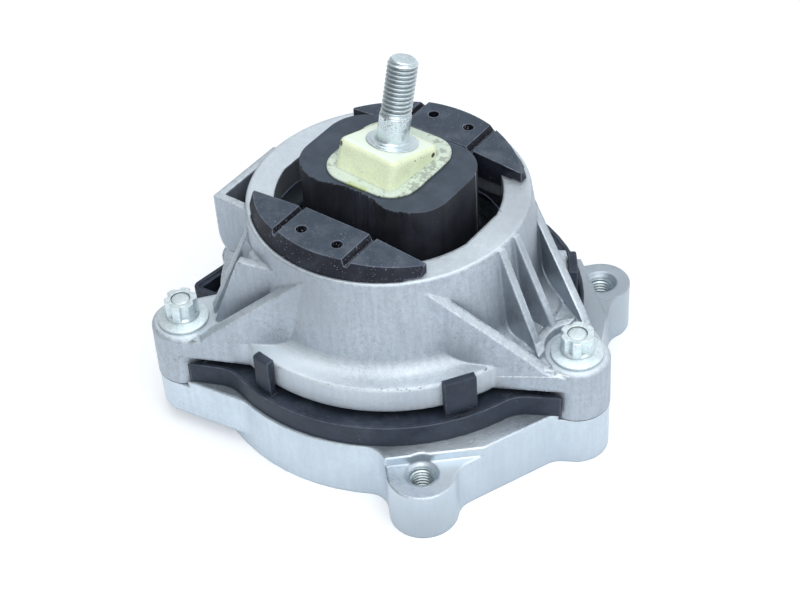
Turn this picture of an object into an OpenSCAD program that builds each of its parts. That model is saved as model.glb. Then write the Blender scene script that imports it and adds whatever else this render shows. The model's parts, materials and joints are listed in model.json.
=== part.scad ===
// Hydraulic engine mount: a cast bell with three arms, bolted to a cast base.
// The origin is on the bell's axis, level with the base's underside.
// +X points at the bolt between the two paired threaded lugs, +Z is up.

/* [Layout] */
// How far outside the base's round body each bolt that joins housing and base stands
bolt_overhang = 9; // [7:0.5:13]
// Angle from the first bolt to each of the other two
bolt_spread = 129.5; // [125:0.5:132]
// How far outside the base's round body each of the paired threads stands
thread_overhang = 10; // [8:0.5:14]
// Angle from the first bolt to each of the paired threaded lugs
thread_spread = 48; // [46:0.5:50]
// How far outside the base's round body the thread opposite the first bolt stands
back_thread_overhang = 2; // [1:0.5:5]

/* [Base bracket] */
// Height of the faces that carry the housing's lugs
base_h = 23; // [22:0.5:26]
// Rise of the round ledge above those faces
ledge_rise = 3; // [2:0.25:4]
// Width of the base's ledge outside the clip carrier
ledge_margin = 1; // [0.5:0.5:3]
// Radius of the nose of the front threaded lug
thread_lug_r = 13.5; // [12.5:0.5:14.5]
// Radius of the nose of the other two threaded lugs
slim_lug_r = 12; // [11.5:0.5:13.5]
// Depth of the threaded lugs' faces below the bolt faces
thread_face_drop = 1; // [0.5:0.25:2]
// Distance from a thread's axis to the wall behind it
thread_wall_gap = 5.4; // [4:0.1:6]
// How far the two bolt lugs away from the first stand clear of the underside
lug_lift = 7; // [4:0.5:9]
// Wall thickness around the hollows of the underside
base_wall = 4.5; // [4:0.25:6]
// Radius of the bowl that the bellows hangs in
bowl_r = 47; // [44:0.5:49]
// Thickness of the bowl's floor
bowl_floor = 5; // [4:0.5:6]
// Thread diameter of the threaded holes
thread_d = 10; // [9:0.5:10.5]
// Diameter of the countersink on each threaded hole
thread_sink_d = 12.8; // [12:0.1:14]
// Depth of that countersink's cone
sink_depth = 1.5; // [1.2:0.1:2.4]
// Depth of the recess under the bowl
bowl_recess = 3; // [2:0.5:4]
// Diameter of the air vent of the space under the bellows
vent_d = 10; // [6:1:14]
// Thickness left over the hollows of the underside
hollow_roof = 6; // [5:0.5:8]
// Radius of the solid round each hole in the underside
base_boss_r = 10; // [9:0.5:11]
// Number of ribs across the hollows of the underside
base_ribs = 15; // [11:1:19]
// Thickness of those ribs
base_rib_t = 3; // [2:0.5:4]
// How far the web between two lugs reaches past their axes
lug_web_reach = 5.5; // [4:0.5:7]

/* [Housing] */
// Height of a housing lug between base and bolt head
lug_h = 24; // [22:0.5:26]
// Radius of a housing lug
lug_r = 13; // [12.5:0.25:13.5]
// Radius that the arms' side walls run out to beside the bell
arm_root_r = 53; // [52:0.25:54]
// Thickness of the arms' side walls
arm_wall = 3.6; // [3:0.2:4.4]
// Thickness of the arms' ribs
rib_t = 3.2; // [2.6:0.2:3.8]
// Height of the arms' floor above the bolt faces
arm_floor_rise = 1.2; // [0.8:0.1:1.6]
// Drop of the rearward wall of the first arm below its front wall, at the bell
back_wall_drop = 4; // [0:0.5:5]
// Angle from an arm to where its middle web meets the bell, on the other two arms
web_root_angle = 25.5; // [24:0.5:27]
// Distance of that web's foot from the arm's centre line
web_foot_y = 6; // [5:0.5:7.5]
// Depth of the web's top below the rim
web_drop = 7.6; // [6:0.2:9]
// Thickness of the web
web_t = 3.4; // [3:0.2:4]
// Rounding of the lugs' upper edges
lug_edge_r = 2; // [1:0.25:3]
// Gap between the clip carrier and the underside of the housing
housing_gap = 2.5; // [2:0.25:3]
// Radius of the housing's round flange
flange_r = 70.7; // [70:0.1:71.4]
// Height of the flange's upright edge
flange_h = 11.5; // [10.5:0.25:12]
// Angle from the first bolt to the start of the relief in the flange
relief_angle = 42; // [41:0.5:45]
// Sweep of that relief
relief_sweep = 42; // [40:0.5:44]
// Depth of the relief, from the flange's edge inwards
relief_depth = 5.7; // [4:0.1:6.5]
// Height of the bell from the flange's underside to the rim
bell_h = 51.6; // [50:0.2:54]
// Outer radius of the rim
rim_r = 56.2; // [55.8:0.1:57]
// Radius of the opening in the rim
opening_r = 45; // [44.5:0.1:45.5]
// Half the distance between the opening's flats under the buffers
opening_flat = 33; // [32.4:0.1:34]
// Half the distance between the opening's two short ends
opening_end = 43.8; // [43:0.2:44.4]
// Thickness of the rim's deck around the opening
deck_t = 12; // [11:0.5:13]
// Depth of the seats that hold the buffers
buffer_seat_depth = 5.6; // [5:0.2:6.5]
// Distance from the axis to the ear's two outer faces
ear_reach = 58; // [57.5:0.25:59]
// Half-length of the ear along the bell's side
ear_side = 38; // [36:0.5:40]
// Height of the ear below the rim
ear_h = 27.5; // [25:0.5:30]
// Diameter of the bolts' clearance holes
bolt_hole_d = 11; // [10.6:0.1:11.4]
// Thickness of the bell's wall
bell_wall = 4.2; // [3.8:0.1:4.6]
// Radius of the hollow between the bell and its flange
foot_r = 7; // [5:0.5:8]
// Distance of the first arm's ribs from its centre line
rib_y = 4.6; // [4:0.2:5.4]
// Drop of the other arms' rib below those of the first arm
lone_rib_drop = 4; // [2:0.5:6]
// Radius of the pocket behind each middle web
pocket_r = 5.5; // [4:0.5:6]
// Depth of that pocket
pocket_depth = 17.6; // [12:0.2:20]
// Thickness of the ear's walls
ear_wall = 3.2; // [2.4:0.2:4]
// Depth of the ear's floor at its outer edge
ear_floor = 6; // [4:0.5:8]
// Drop of the ear's top edge below the rim
ear_drop = 1.2; // [0.6:0.2:2]

/* [Rubber spring and core] */
// Height of the spring's flat top above the rim
spring_rise = 14.4; // [12:0.1:15]
// Length of the spring's block along X
spring_x = 67; // [64:0.5:70]
// Width of the spring's block along Y
spring_y = 47.6; // [45:0.1:50]
// Radius of the block's upright corners
spring_corner = 16.5; // [12:0.5:18]
// Lean of the core and stud towards +Y
core_lean = 15; // [12:0.5:17]
// Lean of the core and stud towards +X
core_side_lean = 2; // [0:0.5:3]
// Turn of the core about its own axis
core_turn = -4.5; // [-9:0.5:0]
// Distance from the rubber's flat top to the core's top face, along the stud
core_rise = 9.1; // [8:0.1:10]
// Size of the core's block across the stud, along X
core_x = 28.8; // [26:0.2:29.6]
// Size of the core's block across the stud, along Y
core_y = 27.8; // [26:0.2:29]
// Rounding of the block's upper edges
core_edge_r = 2.2; // [1:0.2:3]
// Rounding of the block's upright corners
core_corner = 3.4; // [2.4:0.2:4]
// Depth of the core's block along the stud
core_block_h = 17; // [16:0.5:19]
// Depth of the core's stem below the block
core_stem_h = 22; // [18:0.5:24]
// Length of the thin skirt that spreads from the core over the rubber, along X
skirt_x = 40.8; // [36:0.2:43]
// Width of that skirt, along Y
skirt_y = 42.4; // [38:0.2:44]
// Radius of the skirt's corners
skirt_corner = 12; // [8:0.5:14]
// Thickness of that skirt
skirt_t = 0.8; // [0.6:0.1:1.2]

/* [Stud] */
// Thread diameter of the stud
stud_d = 12; // [10:1:14]
// Diameter of the stud's plain shank
shank_d = 12.5; // [10.5:0.1:14.4]
// Length of the plain shank above the core
shank_len = 12; // [10:0.5:14]
// Length of the threaded end
stud_thread_len = 22.3; // [18:0.1:26]
// Length of the stud inside the core
stud_root = 26; // [22:1:30]
// Width of the stud's hexagonal head inside the core, across its corners
root_head_d = 16.5; // [15:0.5:18]
// Height of that head
root_head_h = 6; // [4:0.5:8]
// Chamfer at the stud's tip
tip_chamfer = 1.4; // [0.8:0.1:2]
// Diameter of the stud's collar
collar_d = 20.4; // [18:0.2:22]
// Thickness of the collar
collar_t = 1; // [0.8:0.1:2]
// Radius of the hollow that leads from the collar up to the shank
collar_flare = 2.6; // [1:0.2:3.4]

/* [Stop buffers] */
// Distance from the axis to a buffer's straight inner face
buffer_face = 32; // [31:0.25:34]
// Height of a buffer above the rim
buffer_rise = 7.2; // [6:0.2:9]
// Outer radius of a buffer at the rim
buffer_r = 54.6; // [54:0.1:54.8]
// Distance of each groove from the buffer's middle
groove_x = 17; // [15:0.5:19]
// Width of a groove at the top
groove_w = 4.4; // [3:0.2:6]
// Distance of each dimple from the buffer's middle
dimple_x = 8.5; // [6:0.5:10]
// Distance from the axis to the dimples
dimple_y = 43.4; // [41:0.2:45]
// Diameter of a dimple
dimple_d = 4.4; // [3:0.2:5]
// Depth of a groove
groove_depth = 2.6; // [1.6:0.2:3.4]
// Depth of a dimple
dimple_depth = 4; // [2:0.5:5]
// How far a buffer's top overhangs its seat at each tip
shoulder = 4.8; // [3:0.2:5]
// How far a buffer's outside leans in above the rim
buffer_draft = 3; // [1:0.5:4]
// Drop of a buffer's top at its tips
tip_drop = 3; // [1:0.5:4]

/* [Clip carrier] */
// Height of the carrier's outer wall
carrier_h = 9.5; // [8.5:0.25:11]
// Distance from the flange's edge to the outside of the carrier
carrier_gap = 6.3; // [6:0.1:8]
// Wall thickness of the carrier
carrier_wall = 2.6; // [2:0.1:3.2]
// Depth of the step inside the carrier's rim
carrier_step = 0.8; // [0.4:0.1:1.2]
// Distance from the bell's axis to the far wall of the carrier's eyelet
eyelet_x = 75.8; // [74:0.2:78]
// Distance from the bell's axis to the end wall of the eyelet
eyelet_y = 42.4; // [41:0.2:44]
// Wall thickness of the eyelet
eyelet_wall = 3.2; // [2.4:0.2:4]
// Width of a clip
clip_w = 13; // [11:0.5:15]
// Width of the two clips beside the rear arms
slim_clip_w = 8; // [7:0.5:10]
// Thickness of a clip
clip_t = 2.8; // [2.2:0.1:3.2]
// Height of a clip's hook above the flange
hook_t = 2.2; // [1.4:0.1:2.6]
// Reach of a clip's hook over the flange
hook_reach = 3.2; // [2:0.1:3.4]
// Angle of the wide clips, either side of the first bolt
clip_angle = 34; // [30:1:40]
// Angle of the slim clips, either side of the first bolt
slim_clip_angle = 98; // [92:1:102]
// Thickness of the carrier's deck
deck_depth = 2.5; // [2:0.1:3.5]
// Width of the raised edge round that deck
rim_lip = 1.5; // [1:0.1:2]
// Thickness of the eyelet's floor
eyelet_floor = 1.6; // [1:0.2:3]

/* [Fluid unit] */
// Radius of the track plates and of the seat in the housing
unit_r = 56.5; // [55.5:0.25:57]
// Thickness of the lower track plate
lower_plate_t = 6; // [5:0.5:7]
// Thickness of the upper track plate
upper_plate_t = 7; // [6:0.5:8]
// Height of the spring's support ring
ring_h = 12; // [10:0.5:13]
// Radius of the decoupler membrane
membrane_r = 22; // [18:0.5:26]
// Thickness of the decoupler membrane
membrane_t = 3; // [2:0.25:4]
// Wall thickness of the bellows
bellows_t = 1.6; // [1.2:0.1:2.4]
// Depth of the bellows
bellows_depth = 12; // [8:0.5:13]
// Radius of the damping channel's middle line
track_r = 44; // [40:0.5:46]
// Width of the damping channel
track_w = 8; // [6:0.5:10]
// Depth of the damping channel
track_depth = 4; // [3:0.5:5]
// Diameter of the ports at the channel's ends
port_d = 7; // [5:0.5:8]
// Diameter of the plates' round holes
plate_hole_d = 3.4; // [2.4:0.2:4.2]
// Distance between two rings of those holes
plate_hole_step = 7.5; // [6.5:0.5:8.5]
// Height of the fluid chamber under the rubber
chamber_h = 19; // [15:0.5:20]
// Radius of the middle of the bellows' fold
fold_r = 25.5; // [24:0.5:27]
// Width of that fold
fold_w = 8; // [6:0.5:9]
// Depth of the fold's crest below the bead
fold_drop = 4; // [3:0.5:6]
// Thickness of the bellows' bead and of its ring
bead_t = 3; // [2:0.5:4]
// Width of that ring
bead_w = 6; // [4:0.5:7]

/* [Bolts] */
// Thread diameter of the bolts
bolt_d = 10; // [9:0.5:10.4]
// Length of a bolt's shank
bolt_len = 40; // [36:1:43]
// Diameter of a bolt's flange
bolt_flange_d = 20.5; // [19:0.25:22]
// Thickness of that flange
bolt_flange_t = 2.2; // [1.6:0.1:3]
// Width of a bolt's six-lobed head
bolt_head_d = 13; // [12:0.2:14]
// Height of that head above the flange
bolt_head_h = 8.2; // [7:0.2:10]

/* [Hidden] */

$fn = 96;
fit_gap = 0.3;                  // running clearance between pieces that only sit together
over = 1;                       // how far a cut runs past the face that it opens

// The round pieces, from the flange outwards
carrier_r = flange_r + carrier_gap;
base_r = carrier_r + ledge_margin;
bolt_circle_r = base_r + bolt_overhang;
thread_circle_r = base_r + thread_overhang;
back_thread_r = base_r + back_thread_overhang;
relief_r = flange_r - relief_depth;

bolt_angles = [0, bolt_spread, -bolt_spread];
// Distance, angle and nose radius of each threaded lug
threads = [[thread_circle_r, thread_spread, slim_lug_r],
           [thread_circle_r, -thread_spread, thread_lug_r],
           [back_thread_r, 180, slim_lug_r]];

// Levels, from the base upwards
ledge_z = base_h + ledge_rise;
thread_face_z = base_h - thread_face_drop;
seat_z = base_h + lug_h;
carrier_top = ledge_z + carrier_h;
flange_z = carrier_top + housing_gap;
flange_top = flange_z + flange_h;
rim_z = flange_z + bell_h;
deck_z = rim_z - deck_t;
buffer_floor_z = rim_z - buffer_seat_depth;
buffer_top = rim_z + buffer_rise;
spring_top = rim_z + spring_rise;

// Levels of the fluid unit, from the base's counterbore up to the housing's shoulder
unit_z = ledge_z - 2;
lower_plate_z = unit_z + bead_t;
upper_plate_z = lower_plate_z + lower_plate_t;
ring_z = upper_plate_z + upper_plate_t;
ring_top = ring_z + ring_h;

// Arms and bell
bell_foot_r = rim_r + bell_wall;
foot_rise = 1.5;                // rise of the flange's top towards the bell
cast_edge = 0.6;                // bevel of the flange's lower edge
ridge_top_z = rim_z - 5.6;      // where the arms' outer walls meet the bell
rib_z = flange_z + 1;           // ribs and webs start inside the arms' floor
rib_foot_z = seat_z + 4;
rib_foot_r = bolt_circle_r - 9;  // where the ribs end in front of the lug
rib_head_r = rim_r + 0.8;       // where ribs and webs meet the bell's top
rib_root_r = rim_r - 10;        // where they start inside the bell's wall
rib_top_drop = 0.6;             // drop of the ribs' tops below the rim
rib_skew = 2.4;                 // how far a rib wanders sideways on its way out
wall_foot_r = bolt_circle_r - 8.5;  // where an arm's outer wall comes down to the lug
web_foot_r = bolt_circle_r - 12;  // where the middle webs end
web_z = rim_z - web_drop;
web_sink = 8;                   // how far the middle webs run into the bell's wall
fill_z = web_z - 0.4;
boss_r = lug_r + 3.2;
pad_r = lug_r - 0.4;            // flat cut round each bolt's head
lug_draft = 0.3;                // how much wider a lug is at its foot
ear_root = 30;                  // where the ear's walls start inside the bell

// Base
sink_edge = 0.5;                // straight edge above each countersink
seat_margin = 1.5;              // margin of the bolt faces round the housing's lugs
bolt_play = 0.2;                // play of a bolt in the base

// Bolts
flange_edge_t = 1.2;            // thickness of a bolt's flange at its edge
neck_h = 0.8;                   // round neck between a bolt's flange and its lobes
head_dish = 1.6;                // depth of the dish in a bolt's head

// Clip carrier
carrier_lug_gap = 1.6;          // gap between the carrier and each housing lug
unit_gap = 0.6;                 // gap between the carrier and the fluid unit
clip_gap = 0.7;                 // gap between a clip and the flange's edge
eyelet_len = 20.4;              // length of the eyelet along the carrier
eyelet_skew = 2.8;              // how far its far wall slants

// Stop buffers
seat_half_x = 36.3;             // half-length of a buffer's seat
seat_play = 0.2;                // side play of a buffer in its seat
seat_film = 0.05;               // gap under a buffer in its seat
middle_step = 0.6;              // rise of its middle above the two ends
groove_foot = 1.2;              // width of a groove at its bottom

// Spring, core and stud
spring_shift = [0.6, 0];        // offset of the rubber block from the bell's axis
block_foot_z = deck_z - 10;     // where the rubber's block grows out of its flare
flare_top_r = 36;               // radius of the flare where the block leaves it
flare_top_z = deck_z - 8;
core_place = [1.1, 0.3];        // where the stud's axis meets the rubber's flat top
core_shift = [-0.7, -0.8];      // offset of the block from the stud's axis
core_draft = 0.8;               // how much wider the block is at its foot
layer_t = 0.1;                  // thickness of one layer of the core's block
skirt_shift = [0.2, 1.7];       // offset of the skirt from the bell's axis
collar_sink = 0.3;              // depth of the collar's seat in the core

// Fluid unit
ring_foot_w = 5;                // width of the spring ring at its foot
ring_top_w = 9.5;               // width of the spring ring at its top
track_start = 12;               // angle where the channel starts
track_sweep = 330;              // how far round the channel goes
port_step = 6;                  // angle from an end of the channel to its port
plate_dish = 1.6;               // depth of the hollow over the bellows
disc_recess = 0.8;              // depth of the membrane's thin middle on each side
bellows_inset = 5.5;            // gap between the bellows' wall and the bowl at the bottom

function xy(p) = [p.x, p.y];
function unit(v) = v / norm(v);
function polar(r, a) = [r * cos(a), r * sin(a)];

// One corner of an outline, given as [x, y, radius], turned into an arc
function corner_arc(before, corner, after, steps) =
    corner[2] == 0 ? [xy(corner)] :
    let (
        to_before = unit(xy(before) - xy(corner)),
        to_after = unit(xy(after) - xy(corner)),
        half = acos(to_before * to_after) / 2,
        centre = xy(corner) + unit(to_before + to_after) * corner[2] / sin(half),
        start = xy(corner) + to_before * corner[2] / tan(half) - centre,
        end = xy(corner) + to_after * corner[2] / tan(half) - centre,
        from = atan2(start.y, start.x),
        sweep = (atan2(end.y, end.x) - from + 540) % 360 - 180
    )
    [for (i = [0:steps]) centre + polar(corner[2], from + sweep * i / steps)];

function rounded(points, steps = 6) =
    let (count = len(points))
    [for (i = [0:count - 1])
        each corner_arc(points[(i + count - 1) % count], points[i],
                        points[(i + 1) % count], steps)];

module rounded_rect(x, y, r) {
    polygon(rounded([[-x / 2, -y / 2, r], [x / 2, -y / 2, r],
                     [x / 2, y / 2, r], [-x / 2, y / 2, r]], 10));
}

// An arm seen from above: tangent from the body's circle to the lug's circle
module arm_plan(root_r, tip_r) {
    half = acos((root_r - tip_r) / bolt_circle_r);
    tip = [bolt_circle_r, 0];
    polygon([[0, 0], polar(root_r, -half), tip + polar(tip_r, -half),
             tip + polar(tip_r, half), polar(root_r, half)]);
    translate(tip)
        circle(tip_r);
}

// Fills the inner corners of an outline with arcs
module filleted(r) {
    offset(r = -r, $fn = 64)
        offset(delta = r)
            children();
}

module each_bolt() {
    for (a = bolt_angles)
        rotate(a)
            children();
}

module each_thread() {
    for (t = threads)
        rotate(t[1])
            translate([t[0], 0])
                children();
}

// Base bracket

// Straight web between a paired threaded lug and the first bolt's lug
module web_plan(side) {
    lug = polar(thread_circle_r, side * thread_spread);
    bolt = [bolt_circle_r, 0];
    along = unit(bolt - lug);
    out = side * [-along.y, along.x] * lug_web_reach;
    polygon([[0, 0], lug + out, bolt + out]);
}

module base_plan(with_raised_lugs) {
    filleted(9) {
        circle(base_r);
        arm_plan(arm_root_r + 2, lug_r);
        for (t = threads)
            rotate(t[1]) {
                translate([t[0], 0])
                    circle(t[2]);
                translate([0, -t[2]])
                    square([t[0], 2 * t[2]]);
            }
        for (side = [-1, 1])
            web_plan(side);
        if (with_raised_lugs)
            for (a = [bolt_spread, -bolt_spread])
                rotate(a)
                    arm_plan(base_r - 6, lug_r);
    }
}

module base_hollows() {
    difference() {
        offset(delta = -base_wall)
            base_plan(false);
        circle(bowl_r + base_wall + 2);
        each_bolt()
            translate([bolt_circle_r, 0])
                circle(r = base_boss_r);
        each_thread()
            circle(r = base_boss_r);
        for (i = [0:base_ribs - 1])
            rotate((i + 0.5) * 360 / base_ribs)
                translate([0, -base_rib_t / 2])
                    square([2 * base_r, base_rib_t]);
    }
}

module base_bracket() {
    color("#c9cfd4")
    difference() {
        union() {
            linear_extrude(lug_lift)
                base_plan(false);
            translate([0, 0, lug_lift])
                linear_extrude(thread_face_z - lug_lift)
                    base_plan(true);
            // Upper layer, cut back to a straight wall behind each paired thread
            translate([0, 0, thread_face_z])
                linear_extrude(ledge_z - thread_face_z)
                    difference() {
                        base_plan(true);
                        for (t = threads)
                            rotate(t[1])
                                translate([t[0] - thread_wall_gap, -3 * t[2]])
                                    square([3 * t[2], 6 * t[2]]);
                    }
        }
        each_bolt() {
            translate([bolt_circle_r, 0, base_h])
                cylinder(r = lug_r + seat_margin, h = lug_h);
            translate([bolt_circle_r, -lug_r - seat_margin, base_h])
                cube([2 * lug_r, 2 * (lug_r + seat_margin), lug_h]);
            translate([bolt_circle_r, 0, -over])
                cylinder(d = bolt_d + bolt_play, h = base_h + 2 * over);
        }
        // Counterbore for the fluid unit, the bowl for the bellows, a recess below it and its vent
        translate([0, 0, unit_z])
            cylinder(r = unit_r + fit_gap, h = lug_h);
        translate([0, 0, bowl_recess + bowl_floor])
            cylinder(r = bowl_r, h = lug_h);
        translate([0, 0, -over])
            cylinder(r = bowl_r - base_wall, h = bowl_recess + over);
        translate([0, 0, -over])
            cylinder(d = vent_d, h = base_h);
        each_thread() {
            translate([0, 0, -over])
                cylinder(d = thread_d, h = base_h + 2 * over);
            translate([0, 0, thread_face_z - sink_edge - sink_depth])
                cylinder(d1 = thread_d, d2 = thread_sink_d, h = sink_depth);
            translate([0, 0, thread_face_z - sink_edge])
                cylinder(d = thread_sink_d, h = lug_h);
        }
        translate([0, 0, -over])
            linear_extrude(base_h - hollow_roof + over)
                base_hollows();
    }
}

// Housing

// Half-section of the bell's outside
function bell_outer() = rounded([
    [0, flange_z, 0],
    [flange_r - cast_edge, flange_z, 0],
    [flange_r, flange_z + cast_edge, 0],
    [flange_r, flange_top, 2 * cast_edge],
    [bell_foot_r, flange_top + foot_rise, foot_r],
    [rim_r + 1.1, rim_z - 8, 20],
    [rim_r, rim_z, 0.8],
    [0, rim_z, 0]], 6);

module bell_hollow() {
    rotate_extrude()
        polygon(rounded([
            [0, flange_z - over, 0],
            [unit_r + fit_gap, flange_z - over, 0],
            [unit_r + fit_gap, ring_top + fit_gap, 0],
            [rim_r - 2, ring_top + 5, 4],
            [rim_r - bell_wall - 1, deck_z, 3],
            [0, deck_z, 0]], 5));
}

// Side view of an arm's outer wall: its top edge climbs from the lug to the bell
module wall_side(drop) {
    low = seat_z - lug_edge_r;
    polygon([[0, flange_z], [bolt_circle_r + lug_r, flange_z], [bolt_circle_r + lug_r, low],
             [bolt_circle_r + 3, low], [bolt_circle_r - 4, seat_z], [wall_foot_r, seat_z + 5],
             [arm_root_r - 9, ridge_top_z - drop], [0, ridge_top_z - drop]]);
}

// Side view of a rib: a steeper edge, from the bolt's pad up to the bell
module rib_side(drop) {
    top = rim_z - rib_top_drop - drop;
    polygon([[rib_root_r, rib_z], [rib_foot_r, rib_z], [rib_foot_r, rib_foot_z - 3],
             [rib_foot_r - 4, rib_foot_z], [rib_head_r, top], [rib_root_r, top]]);
}

module upright(t) {
    translate([0, t / 2, 0])
        rotate([90, 0, 0])
            linear_extrude(t)
                children();
}

module arm_wall_one(side, drop) {
    intersection() {
        translate([0, 0, flange_z])
            linear_extrude(bell_h)
                difference() {
                    arm_plan(arm_root_r, lug_r);
                    arm_plan(arm_root_r - arm_wall, lug_r - arm_wall);
                    translate([-over, side > 0 ? -bolt_circle_r : 0])
                        square([2 * bolt_circle_r, bolt_circle_r]);
                }
        upright(2 * bell_foot_r)
            wall_side(drop);
    }
}

module lug() {
    translate([bolt_circle_r, 0, base_h])
        rotate_extrude()
            polygon(rounded([[0, 0, 0], [lug_r + lug_draft, 0, 0],
                             [lug_r, lug_h, lug_edge_r], [0, lug_h, 0]]));
}

module arm_deck(top) {
    translate([0, 0, flange_z])
        linear_extrude(top - flange_z)
            difference() {
                arm_plan(arm_root_r, lug_r - lug_edge_r / 2);
                translate([bolt_circle_r - 4, -lug_r - over])
                    square([2 * lug_r, 2 * lug_r + 2 * over]);
            }
}

// Low wall that stands behind the first bolt's pad
module pad_wall() {
    translate([0, 0, flange_z])
        linear_extrude(rib_foot_z - flange_z)
            intersection() {
                translate([bolt_circle_r, 0])
                    circle(boss_r);
                arm_plan(arm_root_r - arm_wall, lug_r - arm_wall);
                square([2 * rib_foot_r, 2 * boss_r], center = true);
            }
}

module rib(y, skew, drop) {
    translate([rim_r, y])
        rotate(-atan(skew / (rib_foot_r - rim_r)))
            translate([-rim_r, 0])
                upright(rib_t)
                    rib_side(drop);
}

// The first arm: a wall on each side and two ribs between them
module ribbed_arm() {
    arm_wall_one(-1, 0);
    arm_wall_one(1, back_wall_drop);
    arm_deck(seat_z + arm_floor_rise);
    pad_wall();
    lug();
    rib(-rib_y - rib_t / 4, rib_skew, 0);
    rib(rib_y, 0, 0);
}

// Middle web of the other arms, from the bolt's pad up to the bell
module arm_web() {
    root = polar(rib_head_r, web_root_angle);
    foot = [web_foot_r, web_foot_y];
    run = norm(foot - root);
    translate(root)
        rotate(atan2(foot.y - root.y, foot.x - root.x))
            translate([0, -web_t / 2, 0])
                upright(web_t)
                    polygon([[-web_sink, rib_z], [run, rib_z], [run, seat_z + 1],
                             [run * 0.54, web_z], [-web_sink, web_z]]);
}

// Sloping fill between the middle web and the rib, with a round pocket against the bell
module arm_fill() {
    root = polar(rib_head_r, web_root_angle);
    sunk_r = rim_r - web_sink;
    difference() {
        intersection() {
            translate([0, 0, rib_z])
                linear_extrude(bell_h)
                    polygon([[sunk_r, -rib_t / 2], [web_foot_r, -rib_t / 2],
                             [web_foot_r, web_foot_y - web_t], root - [0, web_t],
                             polar(sunk_r, web_root_angle - 3)]);
            upright(2 * bell_foot_r)
                polygon([[sunk_r - web_t, flange_z], [web_foot_r, flange_z], [web_foot_r - 1.5, seat_z],
                         [rim_r + 2, fill_z], [sunk_r - web_t, fill_z]]);
        }
        translate([rim_r + pocket_r + 1, rib_t / 2 + pocket_r - 0.6, fill_z - pocket_depth])
            cylinder(r = pocket_r, h = bell_h);
    }
}

// The other arms: one outer wall, a middle web and a rib
module webbed_arm() {
    arm_wall_one(1, 0);
    arm_web();
    arm_fill();
    intersection() {
        arm_deck(seat_z);
        translate([0, 3 - lug_r, 0])
            cube([2 * bolt_circle_r, 2 * arm_root_r, rim_z]);
    }
    lug();
    rib(0, 0, lone_rib_drop);
}

// Open-topped ear at the side of the rim, one leg along Y and one back to the bell
module ear_plan(inset) {
    polygon([[-ear_reach + inset, -ear_side + inset], [-ear_root, -ear_side + inset],
             [-ear_root, 0], [-ear_reach + inset, 0]]);
}

module ear() {
    top = rim_z - ear_drop;
    foot = rim_z - ear_h;
    difference() {
        intersection() {
            translate([0, 0, foot])
                linear_extrude(top - foot)
                    ear_plan(0);
            translate([0, over, 0])
                rotate([90, 0, 0])
                    linear_extrude(ear_side + 2 * over)
                        polygon(rounded([
                            [-ear_reach, top, 0], [-ear_reach, foot, 12],
                            [-ear_root, foot - 10, 0], [-ear_root, top, 0]]));
        }
        translate([0, 0, foot + ear_floor])
            linear_extrude(ear_h)
                difference() {
                    ear_plan(ear_wall);
                    circle(rim_r - over);
                }
    }
}

module buffer_plan(r, half_x) {
    intersection() {
        circle(r);
        translate([-half_x, -r])
            square([2 * half_x, r - buffer_face]);
    }
}

module upper_housing() {
    color("#d3d8dc")
    difference() {
        union() {
            rotate_extrude()
                polygon(bell_outer());
            ribbed_arm();
            for (side = [-1, 1])
                mirror([0, side > 0 ? 1 : 0, 0])
                    rotate(-bolt_spread)
                        webbed_arm();
            ear();
        }
        bell_hollow();
        // Relief in the flange beside the first arm
        translate([0, 0, flange_z - over])
            rotate(relief_angle)
                rotate_extrude(angle = relief_sweep)
                    translate([relief_r, 0])
                        square([flange_r, 2 * flange_h]);
        translate([0, 0, deck_z - over])
            linear_extrude(deck_t + 2 * over)
                intersection() {
                    circle(opening_r);
                    square([2 * opening_end, 2 * opening_flat], center = true);
                }
        for (turn = [0, 180])
            rotate(turn)
                translate([0, 0, buffer_floor_z])
                    linear_extrude(deck_t)
                        buffer_plan(buffer_r + seat_play, seat_half_x + seat_play);
        each_bolt()
            translate([bolt_circle_r, 0, 0]) {
                translate([0, 0, base_h - over])
                    cylinder(d = bolt_hole_d, h = lug_h + 2 * over);
                translate([0, 0, seat_z])
                    cylinder(r = pad_r, h = bell_h);
            }
    }
}

// Bolts

module six_lobe(d) {
    difference() {
        circle(d = d, $fn = 48);
        for (a = [30:60:330])
            rotate(a)
                translate([d * 0.56, 0])
                    circle(d = d * 0.3, $fn = 24);
    }
}

module bolt() {
    translate([0, 0, -bolt_len])
        cylinder(d = bolt_d, h = bolt_len);
    // Flange that rises to the head in a shallow cone
    rotate_extrude()
        polygon([[0, 0], [bolt_flange_d / 2, 0], [bolt_flange_d / 2, flange_edge_t],
                 [bolt_head_d / 2, bolt_flange_t], [bolt_head_d / 2, bolt_flange_t + neck_h],
                 [bolt_head_d / 2 - neck_h, bolt_flange_t + 2 * neck_h], [0, bolt_flange_t + 2 * neck_h]]);
    difference() {
        translate([0, 0, bolt_flange_t])
            linear_extrude(bolt_head_h)
                six_lobe(bolt_head_d);
        translate([0, 0, bolt_flange_t + bolt_head_h - head_dish])
            cylinder(d = bolt_head_d * 0.6, h = head_dish + over);
    }
}

module housing_bolts() {
    color("#dfe5ea")
    each_bolt()
        translate([bolt_circle_r, 0, seat_z])
            bolt();
}

// Clip carrier

// Eyelet that stands out of the carrier between the second arm and the back thread
module eyelet_plan() {
    polygon(rounded([[-eyelet_x + eyelet_skew, -eyelet_y + eyelet_len, 0], [-eyelet_x, -eyelet_y, 3.6],
                     [-unit_r, -eyelet_y + eyelet_skew / 2, 0], [-unit_r, -eyelet_y + eyelet_len, 0]]));
}

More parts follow.
